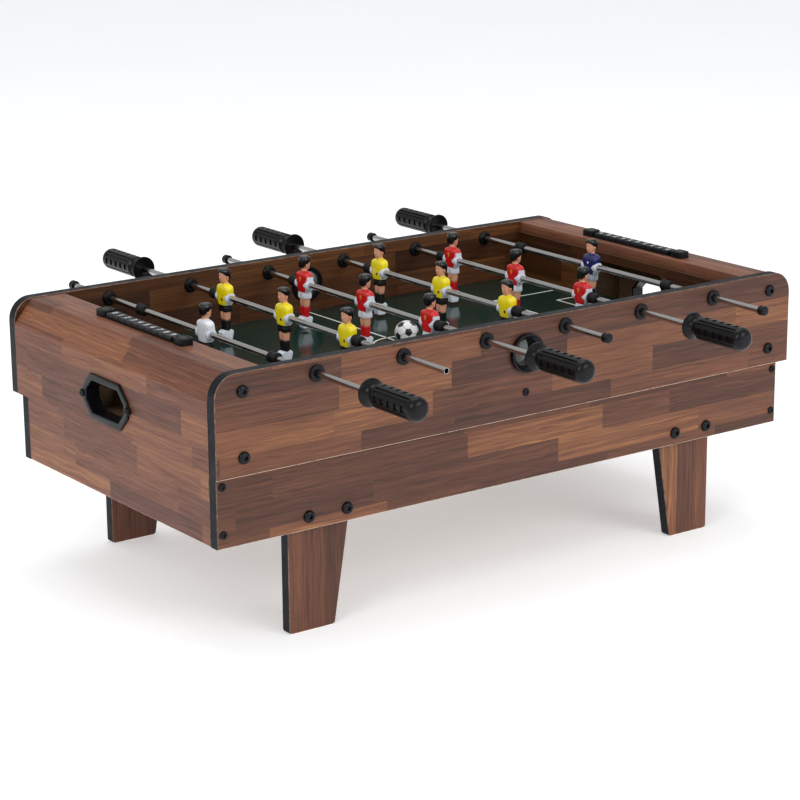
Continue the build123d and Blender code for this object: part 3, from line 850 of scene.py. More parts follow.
# Injection-moulded ABS and polypropylene: near-black with soft highlights on the round edges.
ABS_BLACK = MouldedSkin("abs_moulded_black", "#090a0e", 0.34, specular=0.22)
GRIP_BLACK = MouldedSkin(
    "polypropylene_grip", "#07080b", 0.3, grit=0.8 * MM, relief=0.05 * MM, specular=0.22
)
BEAD_BLACK = MouldedSkin("abs_bead_black", "#101216", 0.38, specular=0.35)
# Moulded rubber: a matt black beside the glossier plastics.
RUBBER = MouldedSkin("rubber_bumper", "#0d0d0e", 0.6, grit=0.9 * MM, relief=0.06 * MM, specular=0.3)
# Pad-printed ink: matt white digits.
INK_WHITE = MouldedSkin("pad_print_white", "#dcdfe2", 0.45)
# Blackened and chromed steel: dark glinting heads, and bright rods with drawn lines.
BLACK_STEEL = DrawnSteel("steel_black_oxide", "#2a2b2e", 0.28)
CHROME = DrawnSteel("steel_tube_chromed", "#b4b3b2", 0.16)
# Moulded polyester: a glossy white and black ball with grey seams.
BALL_WHITE = MouldedSkin("ball_polyester_white", "#e9e9ea", 0.3, clouding=0.03)
BALL_BLACK = MouldedSkin("ball_polyester_black", "#141416", 0.3)
BALL_SEAM = MouldedSkin("ball_seam", "#8f9196", 0.5)
# Lit paper: a floor that fades to white and still takes a soft shadow.
STUDIO_PAPER = GlowingPaper("studio_paper", 0.36)


def coat(piece: Piece, finish: Finish, rule: Callable[[Face], bool] | None = None) -> Piece:
    """Gives a finish to the faces of a piece.

    Args:
        piece: a new piece, not a CAD node.
        finish: what the faces are covered with.
        rule: which faces, or every face if it is left out.

    Returns:
        The same piece.
    """
    material = finish.material()
    slots = piece.data.materials
    if material.name not in slots:
        slots.append(material)
    index = slots.find(material.name)
    for face in piece.data.polygons:
        if rule is None or rule(face):
            face.material_index = index
    return piece


def deliver(piece: Piece, body: str, slot: str, *nodes: str) -> None:
    """Hands a finished piece over to the frame.

    Args:
        piece: the finished piece.
        body: the CAD body that it moves with.
        slot: not used.
        nodes: the CAD nodes that it stands for.
    """
    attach(piece, body)
    if nodes:
        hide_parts(*nodes)
    log.info("%s: %d faces, rides on %s", piece.name, len(piece.data.polygons), body)


def carry(node: str, finish: Finish) -> None:
    """Keeps a CAD node whose shape is right and gives it its finish.

    Args:
        node: name of the CAD node.
        finish: what it is covered with.
    """
    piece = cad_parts[node]
    if not piece.material_slots:
        piece.data.materials.append(None)
    for slot in piece.material_slots:
        slot.material = finish.material()
    log.info("%s: kept, finished as %s", node, finish.name)


# ---- Cabinet -------------------------------------------------------------------------------------
@dataclass
class Cabinet:
    """The upper box, the lower box and the legs, all of laminated board with black edges."""

    corner_radius: float = 22 * MM
    corner_steps: int = 10
    arris: float = 0.7 * MM
    fold_round: float = 1.6 * MM
    fold_height: float = 238 * MM
    slope_run: float = 19 * MM
    foot_width: float = 50 * MM
    foot_round: float = 3 * MM
    serve_hole: float = 14.8 * MM
    bush_hole: float = 5.6 * MM
    mouth_width: float = 116 * MM
    mouth_height: float = 40 * MM
    sleeve: tuple[float, float] = (74 * MM, 35 * MM)
    sleeve_chamfer: float = 11 * MM

    def build(self) -> None:
        """Builds every board."""
        for side in ("front", "back"):
            self.side_panel(side)
            self.lower_side(side)
            self.legs(side)
        for end in ("left", "right"):
            self.end_board(end)
        self.lower_ends()
        self.goal_walls()
        carry("field_battens", PINE)
        carry("corner_blocks", PINE)
        # The ball trays take the darkened hardboard: painted shade.
        carry("ball_trays", TRAY_BOARD_SHADED)

    def clad(self, board: Piece, axis: int, outer: Finish, inner: Finish, outwards: int) -> Piece:
        """Gives a flat board its laminate, black edges and worn arrises.

        Args:
            board: the finished mesh.
            axis: the axis across the board's thickness.
            outer: laminate on the side that faces outwards.
            inner: laminate on the other side.
            outwards: the sign of the outward side along that axis.

        Returns:
            The same board.
        """
        bottom = min(vertex.co.z for vertex in board.data.vertices) + 2 * self.arris
        coat(board, EDGE_BAND)
        coat(board, RAW_BOARD, lambda face: face.normal.z < -0.9)
        coat(board, outer, lambda face: face.normal[axis] * outwards > 0.95)
        coat(board, inner, lambda face: face.normal[axis] * outwards < -0.95)
        # Every arris gets a faint pale painted highlight; the lower ones then get the worn core.
        coat(board, ARRIS_SHEEN, lambda face: 0.5 < abs(face.normal[axis]) < 0.9)
        coat(board, ARRIS_WORN, lambda face: 0.5 < abs(face.normal[axis]) < 0.9 and face.center.z < bottom)
        return board

    def side_panel(self, side: str) -> None:
        """One upper side panel, bored for the rods and the serving cup.

        Args:
            side: "front" or "back".
        """
        box = Box.of(f"side_panel_{side}")
        panel = block(f"{side}_panel_board", box.low, box.high)
        top = box.high.z
        bevel(
            panel,
            lambda edge: runs_along(edge, 1) and centre_of(edge).z > top - WELD,
            self.corner_radius,
            self.corner_steps,
        )
        faces = (box.low.y, box.high.y)
        bevel(panel, lambda edge: not runs_along(edge, 1) and centre_of(edge).y in faces, self.arris)
        holes = [(tube.x, tube.z, self.bush_hole) for tube in rod_axes()]
        cup = solids_in("serve_cups")[0].middle
        holes.append((cup.x, cup.z, self.serve_hole))
        cutters = []
        for x, z, radius in holes:
            bore = turned("bore", [(-box.size.y, radius), (box.size.y, radius)])
            cutters.append(moved(bore, along_y(x, box.middle.y, z, 1)))
        cut(panel, cutters)
        outwards = -1 if side == "front" else 1
        # The inner face takes the darker inside tones: painted shade.
        self.clad(panel, 1, WALNUT_SIDE if side == "front" else WALNUT_BACK, WALNUT_INSIDE_SHADED, outwards)
        deliver(panel, "cabinet", "walnut_board", f"side_panel_{side}")

    def lower_side(self, side: str) -> None:
        """One long board of the lower box.

        Args:
            side: "front" or "back".
        """
        box = Box.of(f"lower_side_{side}")
        board = block(f"{side}_skirt_board", box.low, box.high)
        bevel(board, lambda edge: not runs_along(edge, 1), self.arris)
        outwards = -1 if side == "front" else 1
        self.clad(board, 1, WALNUT_SKIRT, WALNUT_SKIRT, outwards)
        deliver(board, "cabinet", "walnut_board", f"lower_side_{side}")

    def lower_ends(self) -> None:
        """The two short boards of the lower box."""
        boards = []
        for box in solids_in("lower_ends"):
            board = block("skirt_end", box.low, box.high)
            bevel(board, lambda edge: not runs_along(edge, 0), self.arris)
            # The end boards take the lighter end tones: painted light.
            boards.append(self.clad(board, 0, WALNUT_END_LIT, WALNUT_END_LIT, 1 if box.middle.x > 0 else -1))
        deliver(joined("skirt_end_boards", boards), "cabinet", "walnut_board", "lower_ends")

    def end_section(self, box: Box, thickness: float) -> list[tuple[Vector, Vector]]:
        """Outer and inner corner of the left end board at its foot, its two folds and its edge.

        Args:
            box: the box of the left end board.
            thickness: the board's thickness.

        Returns:
            Pairs of corners, from the foot to the edge.
        """
        inner_z = box.high.z - thickness
        outer = [
            Vector((box.low.x, 0, box.low.z)),
            Vector((box.low.x, 0, self.fold_height)),
            Vector((box.low.x + self.slope_run, 0, box.high.z)),
            Vector((box.high.x, 0, box.high.z)),
        ]
        inner = [Vector((box.low.x + thickness, 0, box.low.z))]
        for before, corner, after in zip(outer, outer[1:], outer[2:]):
            ways = (corner - before).normalized(), (after - corner).normalized()
            reach = thickness / (1 + ways[0].dot(ways[1]))
            across = ways[0] + ways[1]
            inner.append(corner + Vector((across.z, 0, -across.x)) * reach)
        inner.append(Vector((box.high.x, 0, inner_z)))
        return list(zip(outer, inner))

    def end_board(self, end: str) -> None:
        """One end board: a strip that is extruded up, over the slope and along the flat top.

        Args:
            end: "left" or "right".
        """
        sign = 1 if end == "right" else -1
        node = Box.of(f"end_board_{end}")
        reach = max(abs(node.low.x), abs(node.high.x))
        nearest = min(abs(node.low.x), abs(node.high.x))
        box = Box(Vector((-reach, node.low.y, node.low.z)), Vector((-nearest, node.high.y, node.high.z)))
        thickness = Box.of("side_panel_front").size.y
        section = self.end_section(box, thickness)
        foot = (section[0][0] + section[0][1]) / 2
        board = sheet(f"{end}_end_board_folded", foot, thickness, box.size.y)
        with editing(board):
            bpy.ops.mesh.select_mode(type="FACE")
            bpy.ops.mesh.select_all(action="SELECT")
            for (outer, inner), (next_outer, next_inner) in pairwise(section):
                step = next_outer - outer
                bpy.ops.mesh.extrude_region_move(TRANSFORM_OT_translate={"value": step})
                strayed = inner + step
                pick(
                    board,
                    Part.VERTICES,
                    lambda v: abs(v.co.x - strayed.x) < WELD * 10 and abs(v.co.z - strayed.z) < WELD * 10,
                )
                bpy.ops.transform.translate(value=next_inner - strayed)
                ends = (next_outer, next_inner)
                pick(
                    board,
                    Part.FACES,
                    lambda f: all(
                        any(abs(v.co.x - p.x) + abs(v.co.z - p.z) < WELD * 10 for p in ends) for v in f.verts
                    ),
                )
        face_outwards(board)
        folds = [(corner.x, corner.z) for corner, _ in section[1:3]]
        bevel(
            board,
            lambda e: runs_along(e, 1)
            and any(abs(centre_of(e).x - x) + abs(centre_of(e).z - z) < WELD * 10 for x, z in folds),
            self.fold_round,
            3,
        )
        edge_x = box.high.x
        bevel(
            board,
            lambda e: runs_along(e, 1) and abs(centre_of(e).x - edge_x) < WELD * 10,
            self.arris,
            2,
        )
        ring = solids_in("return_rings")[0].middle
        half_width, half_height = self.sleeve[0] / 2, self.sleeve[1] / 2
        hole = block(
            "sleeve_hole",
            (-reach - thickness, -half_width, ring.z - half_height),
            (-reach + 2 * thickness, half_width, ring.z + half_height),
        )
        bevel(hole, lambda edge: runs_along(edge, 0), self.sleeve_chamfer)
        cut(board, [hole])
        if sign > 0:
            moved(board, Matrix.Scale(-1, 4, (1, 0, 0)))
        # The folded end board takes the lighter end tones: painted light.
        coat(board, WALNUT_END_LIT)
        coat(board, RAW_BOARD, lambda face: face.normal.z < -0.3)
        # Inner faces of the upright part take the darkened hardboard: painted shade.
        coat(
            board,
            TRAY_BOARD_SHADED,
            lambda face: face.normal.x * sign < -0.99 and abs(face.center.x) > nearest + thickness,
        )
        coat(board, EDGE_BAND, lambda face: abs(face.normal.y) > 0.9)
        smooth(board, 50)
        deliver(board, "cabinet", "walnut_board", f"end_board_{end}")

    def goal_walls(self) -> None:
        """The two goal walls, with their mouths cut up from the field."""
        walls = []
        for box in solids_in("goal_walls"):
            wall = block("goal_wall", box.low, box.high)
            mouth = block(
                "mouth",
                (box.low.x - self.arris, -self.mouth_width / 2, box.low.z - self.arris),
                (box.high.x + self.arris, self.mouth_width / 2, box.low.z + self.mouth_height),
            )
            bevel(mouth, lambda e: runs_along(e, 0) and centre_of(e).z > box.low.z, self.foot_round, 4)
            cut(wall, [mouth])
            coat(wall, EDGE_BAND)
            # Both faces of the goal wall take the darker tones: painted shade.
            coat(wall, WALNUT_GOAL_SHADED, lambda face: abs(face.normal.x) > 0.9)
            walls.append(wall)
        deliver(joined("goal_wall_boards", walls), "cabinet", "walnut_board", "goal_walls")

    def legs(self, side: str) -> None:
        """The two legs of one side, upright outside and tapered inside.

        Args:
            side: "front" or "back".
        """
        legs = []
        for box in solids_in(f"legs_{side}"):
            leg = block("leg", box.low, box.high)
            inward = -1 if box.middle.x > 0 else 1
            inner_x = box.high.x if inward > 0 else box.low.x
            with editing(leg):
                pick(
                    leg,
                    Part.VERTICES,
                    lambda v: v.co.z < box.middle.z and abs(v.co.x - inner_x) < WELD,
                )
                bpy.ops.transform.translate(value=(-inward * (box.size.x - self.foot_width), 0, 0))
            bevel(leg, lambda e: runs_along(e, 1) and centre_of(e).z < box.middle.z, self.foot_round, 4)
            faces = (box.low.y, box.high.y)
            bevel(leg, lambda e: not runs_along(e, 1) and centre_of(e).y in faces, self.arris)
            legs.append(self.clad(leg, 1, WALNUT_LEG, WALNUT_LEG, -1 if side == "front" else 1))
        deliver(joined(f"{side}_leg_boards", legs), "cabinet", "walnut_board", f"legs_{side}")


def rod_axes() -> list[Vector]:
    """Where the six rods cross the middle of the table, from left to right."""
    middles = [Box.of(f"rod_{number}_tube").middle for number in range(1, 7)]
    return [Vector((middle.x, 0, middle.z)) for middle in middles]


# ---- Playing field -------------------------------------------------------------------------------
@dataclass
class PlayingField:
    """The glossy green field and its printed lines."""

    edge: float = 1.4 * MM
    line: float = 2.2 * MM
    ink: float = 0.06 * MM
    circle: float = 35 * MM
    penalty: tuple[float, float] = (185 * MM, 97 * MM)
    goal_area: tuple[float, float] = (241 * MM, 58 * MM)

    def build(self) -> None:
        """Builds the board and its lines."""
        box = Box.of("playing_field")
        board = block("field_board", box.low, box.high)
        top = box.high.z
        bevel(board, lambda e: runs_along(e, 1) and centre_of(e).z > top - WELD, self.edge)
        coat(board, RAW_BOARD)
        coat(board, FIELD_GREEN, lambda face: face.normal.z > 0.9)
        deliver(board, "cabinet", "field_green", "playing_field")
        wall = solids_in("goal_walls")[-1].low.x
        side = box.high.y
        lines = [self.stripe((-self.line / 2, -side), (self.line / 2, side), top)]
        for area in (self.penalty, self.goal_area):
            for sign in (-1, 1):
                low_x, high_x = sorted((sign * area[0], sign * (wall + self.line)))
                lines.append(self.frame((low_x, -area[1]), (high_x, area[1]), top))
        lines.append(self.ring(top))
        markings = joined("field_lines", lines)
        coat(markings, FIELD_LINE)
        deliver(markings, "cabinet", "field_green")

    def flat(self, low: tuple[float, float], high: tuple[float, float], top: float) -> Piece:
        """A plane primitive between two corners on the field."""
        middle = ((low[0] + high[0]) / 2, (low[1] + high[1]) / 2, top)
        return sheet("line", middle, high[0] - low[0], high[1] - low[1])

    def thicken(self, piece: Piece) -> Piece:
        """Gives a flat line the thickness of its ink.

        Args:
            piece: a flat shape.

        Returns:
            The same piece, closed.
        """
        with editing(piece):
            bpy.ops.mesh.select_all(action="SELECT")
            bpy.ops.mesh.extrude_region_move(TRANSFORM_OT_translate={"value": (0, 0, self.ink)})
        face_outwards(piece)
        return piece

    def hollow(self, piece: Piece) -> Piece:
        """Leaves only a line's width around the edge of a flat shape.

        Args:
            piece: a flat shape.

        Returns:
            Its outline, closed.
        """
        with editing(piece):
            bpy.ops.mesh.select_mode(type="FACE")
            bpy.ops.mesh.select_all(action="SELECT")
            bpy.ops.mesh.inset(thickness=self.line, depth=0)
            bpy.ops.mesh.delete(type="FACE")
        return self.thicken(piece)

    def stripe(self, low: tuple[float, float], high: tuple[float, float], top: float) -> Piece:
        """A straight line."""
        return self.thicken(self.flat(low, high, top))

    def frame(self, low: tuple[float, float], high: tuple[float, float], top: float) -> Piece:
        """The outline of an area."""
        return self.hollow(self.flat(low, high, top))

    def ring(self, top: float) -> Piece:
        """The centre circle.

        Args:
            top: height of the field's face.

        Returns:
            The circle as a closed ring.
        """
        bpy.ops.object.select_all(action="DESELECT")
        bpy.ops.mesh.primitive_circle_add(
            vertices=72, radius=self.circle, fill_type="NGON", location=(0, 0, top)
        )
        return self.hollow(settle(bpy.context.active_object))


# ---- Fittings on the cabinet ---------------------------------------------------------------------
@dataclass
class Fittings:
    """Bushes, serving cups and return rings."""

    bore: float = 3.2 * MM
    barrel: float = 5.6 * MM
    flange: float = 7.8 * MM
    flange_height: float = 3 * MM
    flange_round: float = 1.2 * MM
    mouth_depth: float = 1.0 * MM
    mouth_flare: float = 0.7 * MM
    face_sink: float = 0.3 * MM
    face_land: float = 0.4 * MM
    cup_bore: float = 13 * MM
    cup_barrel: float = 14.8 * MM
    cup_rim: float = 18.8 * MM
    cup_depth: float = 5 * MM
    ring_height: float = 2.4 * MM
    opening: tuple[float, float] = (35 * MM, 15.5 * MM)
    bezel: float = 6.5 * MM
    bezel_round: float = 1.1 * MM
    corner_cut: float = 11 * MM
    sleeve: float = 2 * MM
    ear: float = 4 * MM
    ear_edge: float = 0.5 * MM

    def build(self) -> None:
        """Builds the bushes, the serving cups and the return rings."""
        self.bushes()
        self.cups()
        self.return_rings()

    def bushes(self) -> None:
        """Twelve bushes with their domed nuts."""
        panel = Box.of("side_panel_front")
        thickness = panel.size.y
        height, round_off = self.flange_height, self.flange_round
        bush = turned(
            "bush",
            [
                (height - self.mouth_depth, self.bore),
                (height - self.face_sink, self.bore + self.mouth_flare),
                (height - self.face_sink, self.bore + self.mouth_flare + self.face_land),
                (height, self.bore + self.mouth_flare + 2 * self.face_land),
                *arc((height - round_off, self.flange - round_off), round_off, 90, 0, 4),
                (0, self.flange),
                (0, self.barrel),
                (-thickness, self.barrel),
                (-thickness, self.bore),
            ],
            40,
            ring=True,
        )
        nut = turned(
            "bush_nut",
            [
                (0, self.bore),
                (height, self.bore),
                (height, self.bore + 1.0 * MM),
                *arc((0, self.flange - height), height, 78, 0, 6),
            ],
            40,
            ring=True,
        )
        pieces = []
        for axis in rod_axes():
            for side in (-1, 1):
                outside = along_y(axis.x, side * abs(panel.low.y), axis.z, side)
                inside = along_y(axis.x, side * abs(panel.high.y), axis.z, -side)
                pieces.append(copied(bush, "bush_copy", outside))
                pieces.append(copied(nut, "nut_copy", inside))
        discard(bush, nut)
        bushes = smooth(coat(joined("rod_bush_set", pieces), ABS_BLACK))
        deliver(bushes, "cabinet", "black_plastic", "rod_bushes")

    def cups(self) -> None:
        """Two serving cups: a dished rim outside, a barrel through the panel and a ring inside."""
        panel = Box.of("side_panel_front")
        thickness = panel.size.y
        lip = 1.6 * MM
        cup = turned(
            "cup",
            [
                (-thickness, self.cup_bore),
                (0, self.cup_bore),
                (self.cup_depth * 0.35, self.cup_bore + 1.2 * MM),
                (self.cup_depth * 0.45, self.cup_bore + 1.9 * MM),
                (self.cup_depth * 0.85, self.cup_rim - lip - 0.6 * MM),
                (self.cup_depth, self.cup_rim - lip),
                (self.cup_depth, self.cup_rim - 0.5 * MM),
                (self.cup_depth - 0.5 * MM, self.cup_rim),
                (0, self.cup_rim),
                (0, self.cup_barrel),
                (-thickness, self.cup_barrel),
            ],
            64,
            ring=True,
        )
        ring = turned(
            "cup_ring",
            [
                (0, self.cup_bore),
                (self.ring_height, self.cup_bore + 0.6 * MM),
                (self.ring_height, self.cup_rim - 1.0 * MM),
                (self.ring_height - 0.8 * MM, self.cup_rim),
                (0, self.cup_rim),
            ],
            64,
            ring=True,
        )
        cup_axis = solids_in("serve_cups")[0].middle
        pieces = []
        for side in (-1, 1):
            outside = along_y(cup_axis.x, side * abs(panel.low.y), cup_axis.z, side)
            inside = along_y(cup_axis.x, side * abs(panel.high.y), cup_axis.z, -side)
            pieces.append(copied(cup, "cup_copy", outside))
            pieces.append(copied(ring, "ring_copy", inside))
        discard(cup, ring)
        cups = smooth(coat(joined("serving_cup_set", pieces), ABS_BLACK))
        deliver(cups, "cabinet", "black_plastic", "serve_cups")

    def octagon(
        self,
        name: str,
        low_x: float,
        high_x: float,
        half: tuple[float, float],
        cut_off: float,
        z: float,
    ) -> Piece:
        """A flat octagon that faces along X.

        Args:
            name: the piece's name.
            low_x: its lowest X.
            high_x: its highest X.
            half: half of its size along Y and Z.
            cut_off: how much is cut off at each corner.
            z: height of its middle.

        Returns:
            The octagon.
        """
        piece = block(name, (low_x, -half[0], z - half[1]), (high_x, half[0], z + half[1]))
        bevel(piece, lambda edge: runs_along(edge, 0), cut_off)
        return piece

    def return_rings(self) -> None:
        """The black bezels of the ball return holes, with screw ears and a sleeve in the board."""
        pieces = []
        face = Box.of("end_board_right").high.x
        for box in solids_in("return_rings"):
            sign = 1 if box.middle.x > 0 else -1
            z = box.middle.z
            outer = max(abs(box.low.x), abs(box.high.x))
            inner = min(abs(box.low.x), abs(box.high.x))
            spread = self.opening[0] + self.bezel, self.opening[1] + self.bezel
            bezel = self.octagon("bezel", face, outer, spread, self.corner_cut + 0.59 * self.bezel, z)
            lining = self.opening[0] + self.sleeve, self.opening[1] + self.sleeve
            sleeve = self.octagon("sleeve", inner, face, lining, self.corner_cut + 0.59 * self.sleeve, z)
            for piece in (bezel, sleeve):
                gap = self.octagon("gap", inner - MM, outer + MM, self.opening, self.corner_cut, z)
                cut(piece, [gap])
            bevel(
                bezel,
                lambda e: not runs_along(e, 0) and centre_of(e).x > outer - WELD * 5,
                self.bezel_round,
                4,
            )
            pieces += [bezel, sleeve]
            for side in (-1, 1):
                top = outer - face
                rings = [(0, self.ear), (top - self.ear_edge, self.ear), (top, self.ear - self.ear_edge)]
                ear = turned("ear", rings, 32)
                spot = Matrix.Translation((face, side * spread[0], z))
                pieces.append(moved(ear, spot @ Matrix.Rotation(math.radians(90), 4, "Y")))
            if sign < 0:
                for piece in pieces[-4:]:
                    moved(piece, Matrix.Scale(-1, 4, (1, 0, 0)))
        rings = smooth(coat(joined("return_bezels", pieces), ABS_BLACK), 30)
        deliver(rings, "cabinet", "black_plastic", "return_rings")


@dataclass
class Fasteners:
    """Button-head bolts with their nuts, and pan-head screws."""

    head: float = 5.75 * MM
    head_height: float = 3.4 * MM
    shank: float = 3.0 * MM
    hexagon: float = 2.3 * MM
    nut: float = 5.77 * MM
    pan: float = 3.8 * MM
    pan_height: float = 2.0 * MM
    core: float = 1.8 * MM
    slot: tuple[float, float] = (4.2 * MM, 0.9 * MM)

    def build(self) -> None:
        """Builds the bolts and the screws."""
        self.bolts()
        self.screws()

    def outwards(self, box: Box, axis: int, height: float) -> Matrix:
        """Stands a piece made about Z on the surface, its head away from the table's middle.

        Args:
            box: box of the whole fastener.
            axis: the axis that it lies along.
            height: how far its head stands out.

        Returns:
            The matrix that puts it in place.
        """
        side = 1 if box.middle[axis] > 0 else -1
        place = box.middle.copy()
        place[axis] = (box.high[axis] if side > 0 else box.low[axis]) - side * height
        if axis == 0:
            return Matrix.Translation(place) @ Matrix.Rotation(math.radians(90 * side), 4, "Y")
        return along_y(place.x, place.y, place.z, side)

    def stem(self, radius: float, length: float) -> Piece:
        """The plain shank below a head, with a short point."""
        rings = [(-length, radius * 0.6), (-length + 0.8 * MM, radius), (0.2 * MM, radius)]
        return turned("stem", rings, 24)

    def bolts(self) -> None:
        """Sixteen bolts and eight nuts."""
        height = self.head_height
        head = turned(
            "bolt_head",
            [
                (0, self.head - 0.3 * MM),
                (0.3 * MM, self.head),
                (0.9 * MM, self.head),
                *arc((0.9 * MM, self.head - 2.5 * MM), 2.5 * MM, 15, 90, 6),
            ],
            40,
        )
        bpy.ops.object.select_all(action="DESELECT")
        bpy.ops.mesh.primitive_cylinder_add(
            vertices=6, radius=self.hexagon, depth=height, location=(0, 0, height)
        )
        cut(head, [settle(bpy.context.active_object, "hexagon")])
        bpy.ops.object.select_all(action="DESELECT")
        bpy.ops.mesh.primitive_cylinder_add(vertices=6, radius=self.nut, depth=MM)
        nut = settle(bpy.context.active_object, "nut")
        bevel(nut, lambda edge: not runs_along(edge, 2), 0.1 * MM, 2)
        pieces = []
        for box in solids_in("frame_bolts"):
            if box.size.y > 2 * height:
                place = self.outwards(box, 1, height)
                pieces.append(copied(head, "bolt", place))
                pieces.append(moved(self.stem(self.shank, box.size.y - height), place))
            else:
                stretch = Matrix.Scale(box.size.y / MM, 4, (0, 0, 1))
                pieces.append(copied(nut, "nut", along_y(*box.middle, 1) @ stretch))
        discard(head, nut)
        bolts = smooth(coat(joined("button_head_bolts", pieces), BLACK_STEEL), 30)
        deliver(bolts, "cabinet", "black_steel", "frame_bolts")

    def screws(self) -> None:
        """Fourteen pan-head screws with a cross recess."""
        height = self.pan_height
        head = turned(
            "pan_head",
            [
                (0, self.pan),
                (0.6 * MM, self.pan),
                *arc((0.6 * MM, self.pan - 1.4 * MM), 1.4 * MM, 15, 90, 5),
            ],
            32,
        )
        length, width = self.slot
        arms = [
            block("slot", (-a / 2, -b / 2, height * 0.45), (a / 2, b / 2, height * 2))
            for a, b in ((length, width), (width, length))
        ]
        for arm in arms:
            cut(head, [arm])
        pieces = []
        for box in solids_in("small_screws"):
            axis = 0 if box.size.x > box.size.y else 1
            place = self.outwards(box, axis, height)
            pieces.append(copied(head, "screw", place))
            pieces.append(moved(self.stem(self.core, box.size[axis] - height), place))
        discard(head)
        screws = smooth(coat(joined("pan_head_screws", pieces), BLACK_STEEL), 30)
        deliver(screws, "cabinet", "black_steel", "small_screws")


# ---- Rods ----------------------------------------------------------------------------------------
@dataclass
class Handle:
    """A black grip: flared rim, waisted neck, barrel with flutes and pockets, round end."""

    length: float = 74 * MM
    rim: float = 13 * MM
    rim_height: float = 2.6 * MM
    neck: float = 7.5 * MM
    barrel: float = 11 * MM
    barrel_start: float = 15 * MM
    end_round: float = 7 * MM
    socket: float = 3.03 * MM
    socket_depth: float = 52 * MM
    margin: float = 1.5 * MM
    pockets: int = 5
    pocket_length: float = 4.6 * MM
    relief: float = 1.2 * MM
    wall: float = 0.35 * MM
    sides: int = 72

    def pocket_spans(self) -> list[tuple[float, float]]:
        """Start and end of each pocket along the barrel.

        Returns:
            One pair for each pocket.
        """
        start = self.barrel_start + self.margin
        end = self.length - self.end_round - self.margin
        pitch = (end - start) / self.pockets
        middles = [start + (index + 0.5) * pitch for index in range(self.pockets)]
        return [(middle - self.pocket_length / 2, middle + self.pocket_length / 2) for middle in middles]

    def neck_profile(self) -> list[Ring]:
        """The waist between rim and barrel, as a smooth curve through its narrowest place.

        Returns:
            Height and radius of each ring.
        """
        points = []
        for step in range(1, 10):
            share = step / 10
            height = self.rim_height + (self.barrel_start - self.rim_height) * share
            ends = self.rim + (self.barrel - self.rim) * share
            points.append((height, ends - (ends - self.neck) * math.sin(math.pi * share) ** 0.8))
        return points

    def model(self) -> Piece:
        """The grip about Z, with its rim at Z = 0 and its round end up.

        Returns:
            The grip, which is copied to each rod.
        """
        barrel_end = self.length - self.end_round
        start, end = self.barrel_start + self.margin, barrel_end - self.margin
        heights = [start, *(height for span in self.pocket_spans() for height in span), end, barrel_end]
        profile = [
            (self.socket_depth, self.socket),
            (1.4 * MM, self.socket),
            (0.9 * MM, self.socket + 1.2 * MM),
            (0.5 * MM, self.rim - 3 * MM),
            (0, self.rim - 1.4 * MM),
            *arc((0.7 * MM, self.rim - 0.7 * MM), 0.7 * MM, -60, 0, 3),
            (self.rim_height - 0.5 * MM, self.rim),
            (self.rim_height, self.rim - 0.4 * MM),
            *self.neck_profile(),
            (self.barrel_start, self.barrel),
            *((height, self.barrel) for height in heights),
            *arc((barrel_end, self.barrel - self.end_round), self.end_round, 10, 90, 8),
        ]
        grip = turned("grip", profile, self.sides)
        spans = self.pocket_spans()

        def relieved(face: bmesh.types.BMFace) -> bool:
            """Whether a face lies on a flute or in a pocket.

            Args:
                face: a face of the barrel.

            Returns:
                True where the grip is let in.
            """
            middle = face.calc_center_median()
            if middle.xy.length < self.barrel * 0.98 or not start < middle.z < end:
                return False
            turn = math.degrees(math.atan2(middle.y, middle.x)) % 90
            flute = 5 < abs(turn - 45) < 15
            pocket = min(turn, 90 - turn) < 15 and any(low < middle.z < high for low, high in spans)
            return flute or pocket

        with editing(grip):
            pick(grip, Part.FACES, relieved)
            bpy.ops.mesh.inset(thickness=self.wall, depth=-self.relief, use_even_offset=True)
        coat(grip, GRIP_BLACK)
        return smooth(grip, 32)


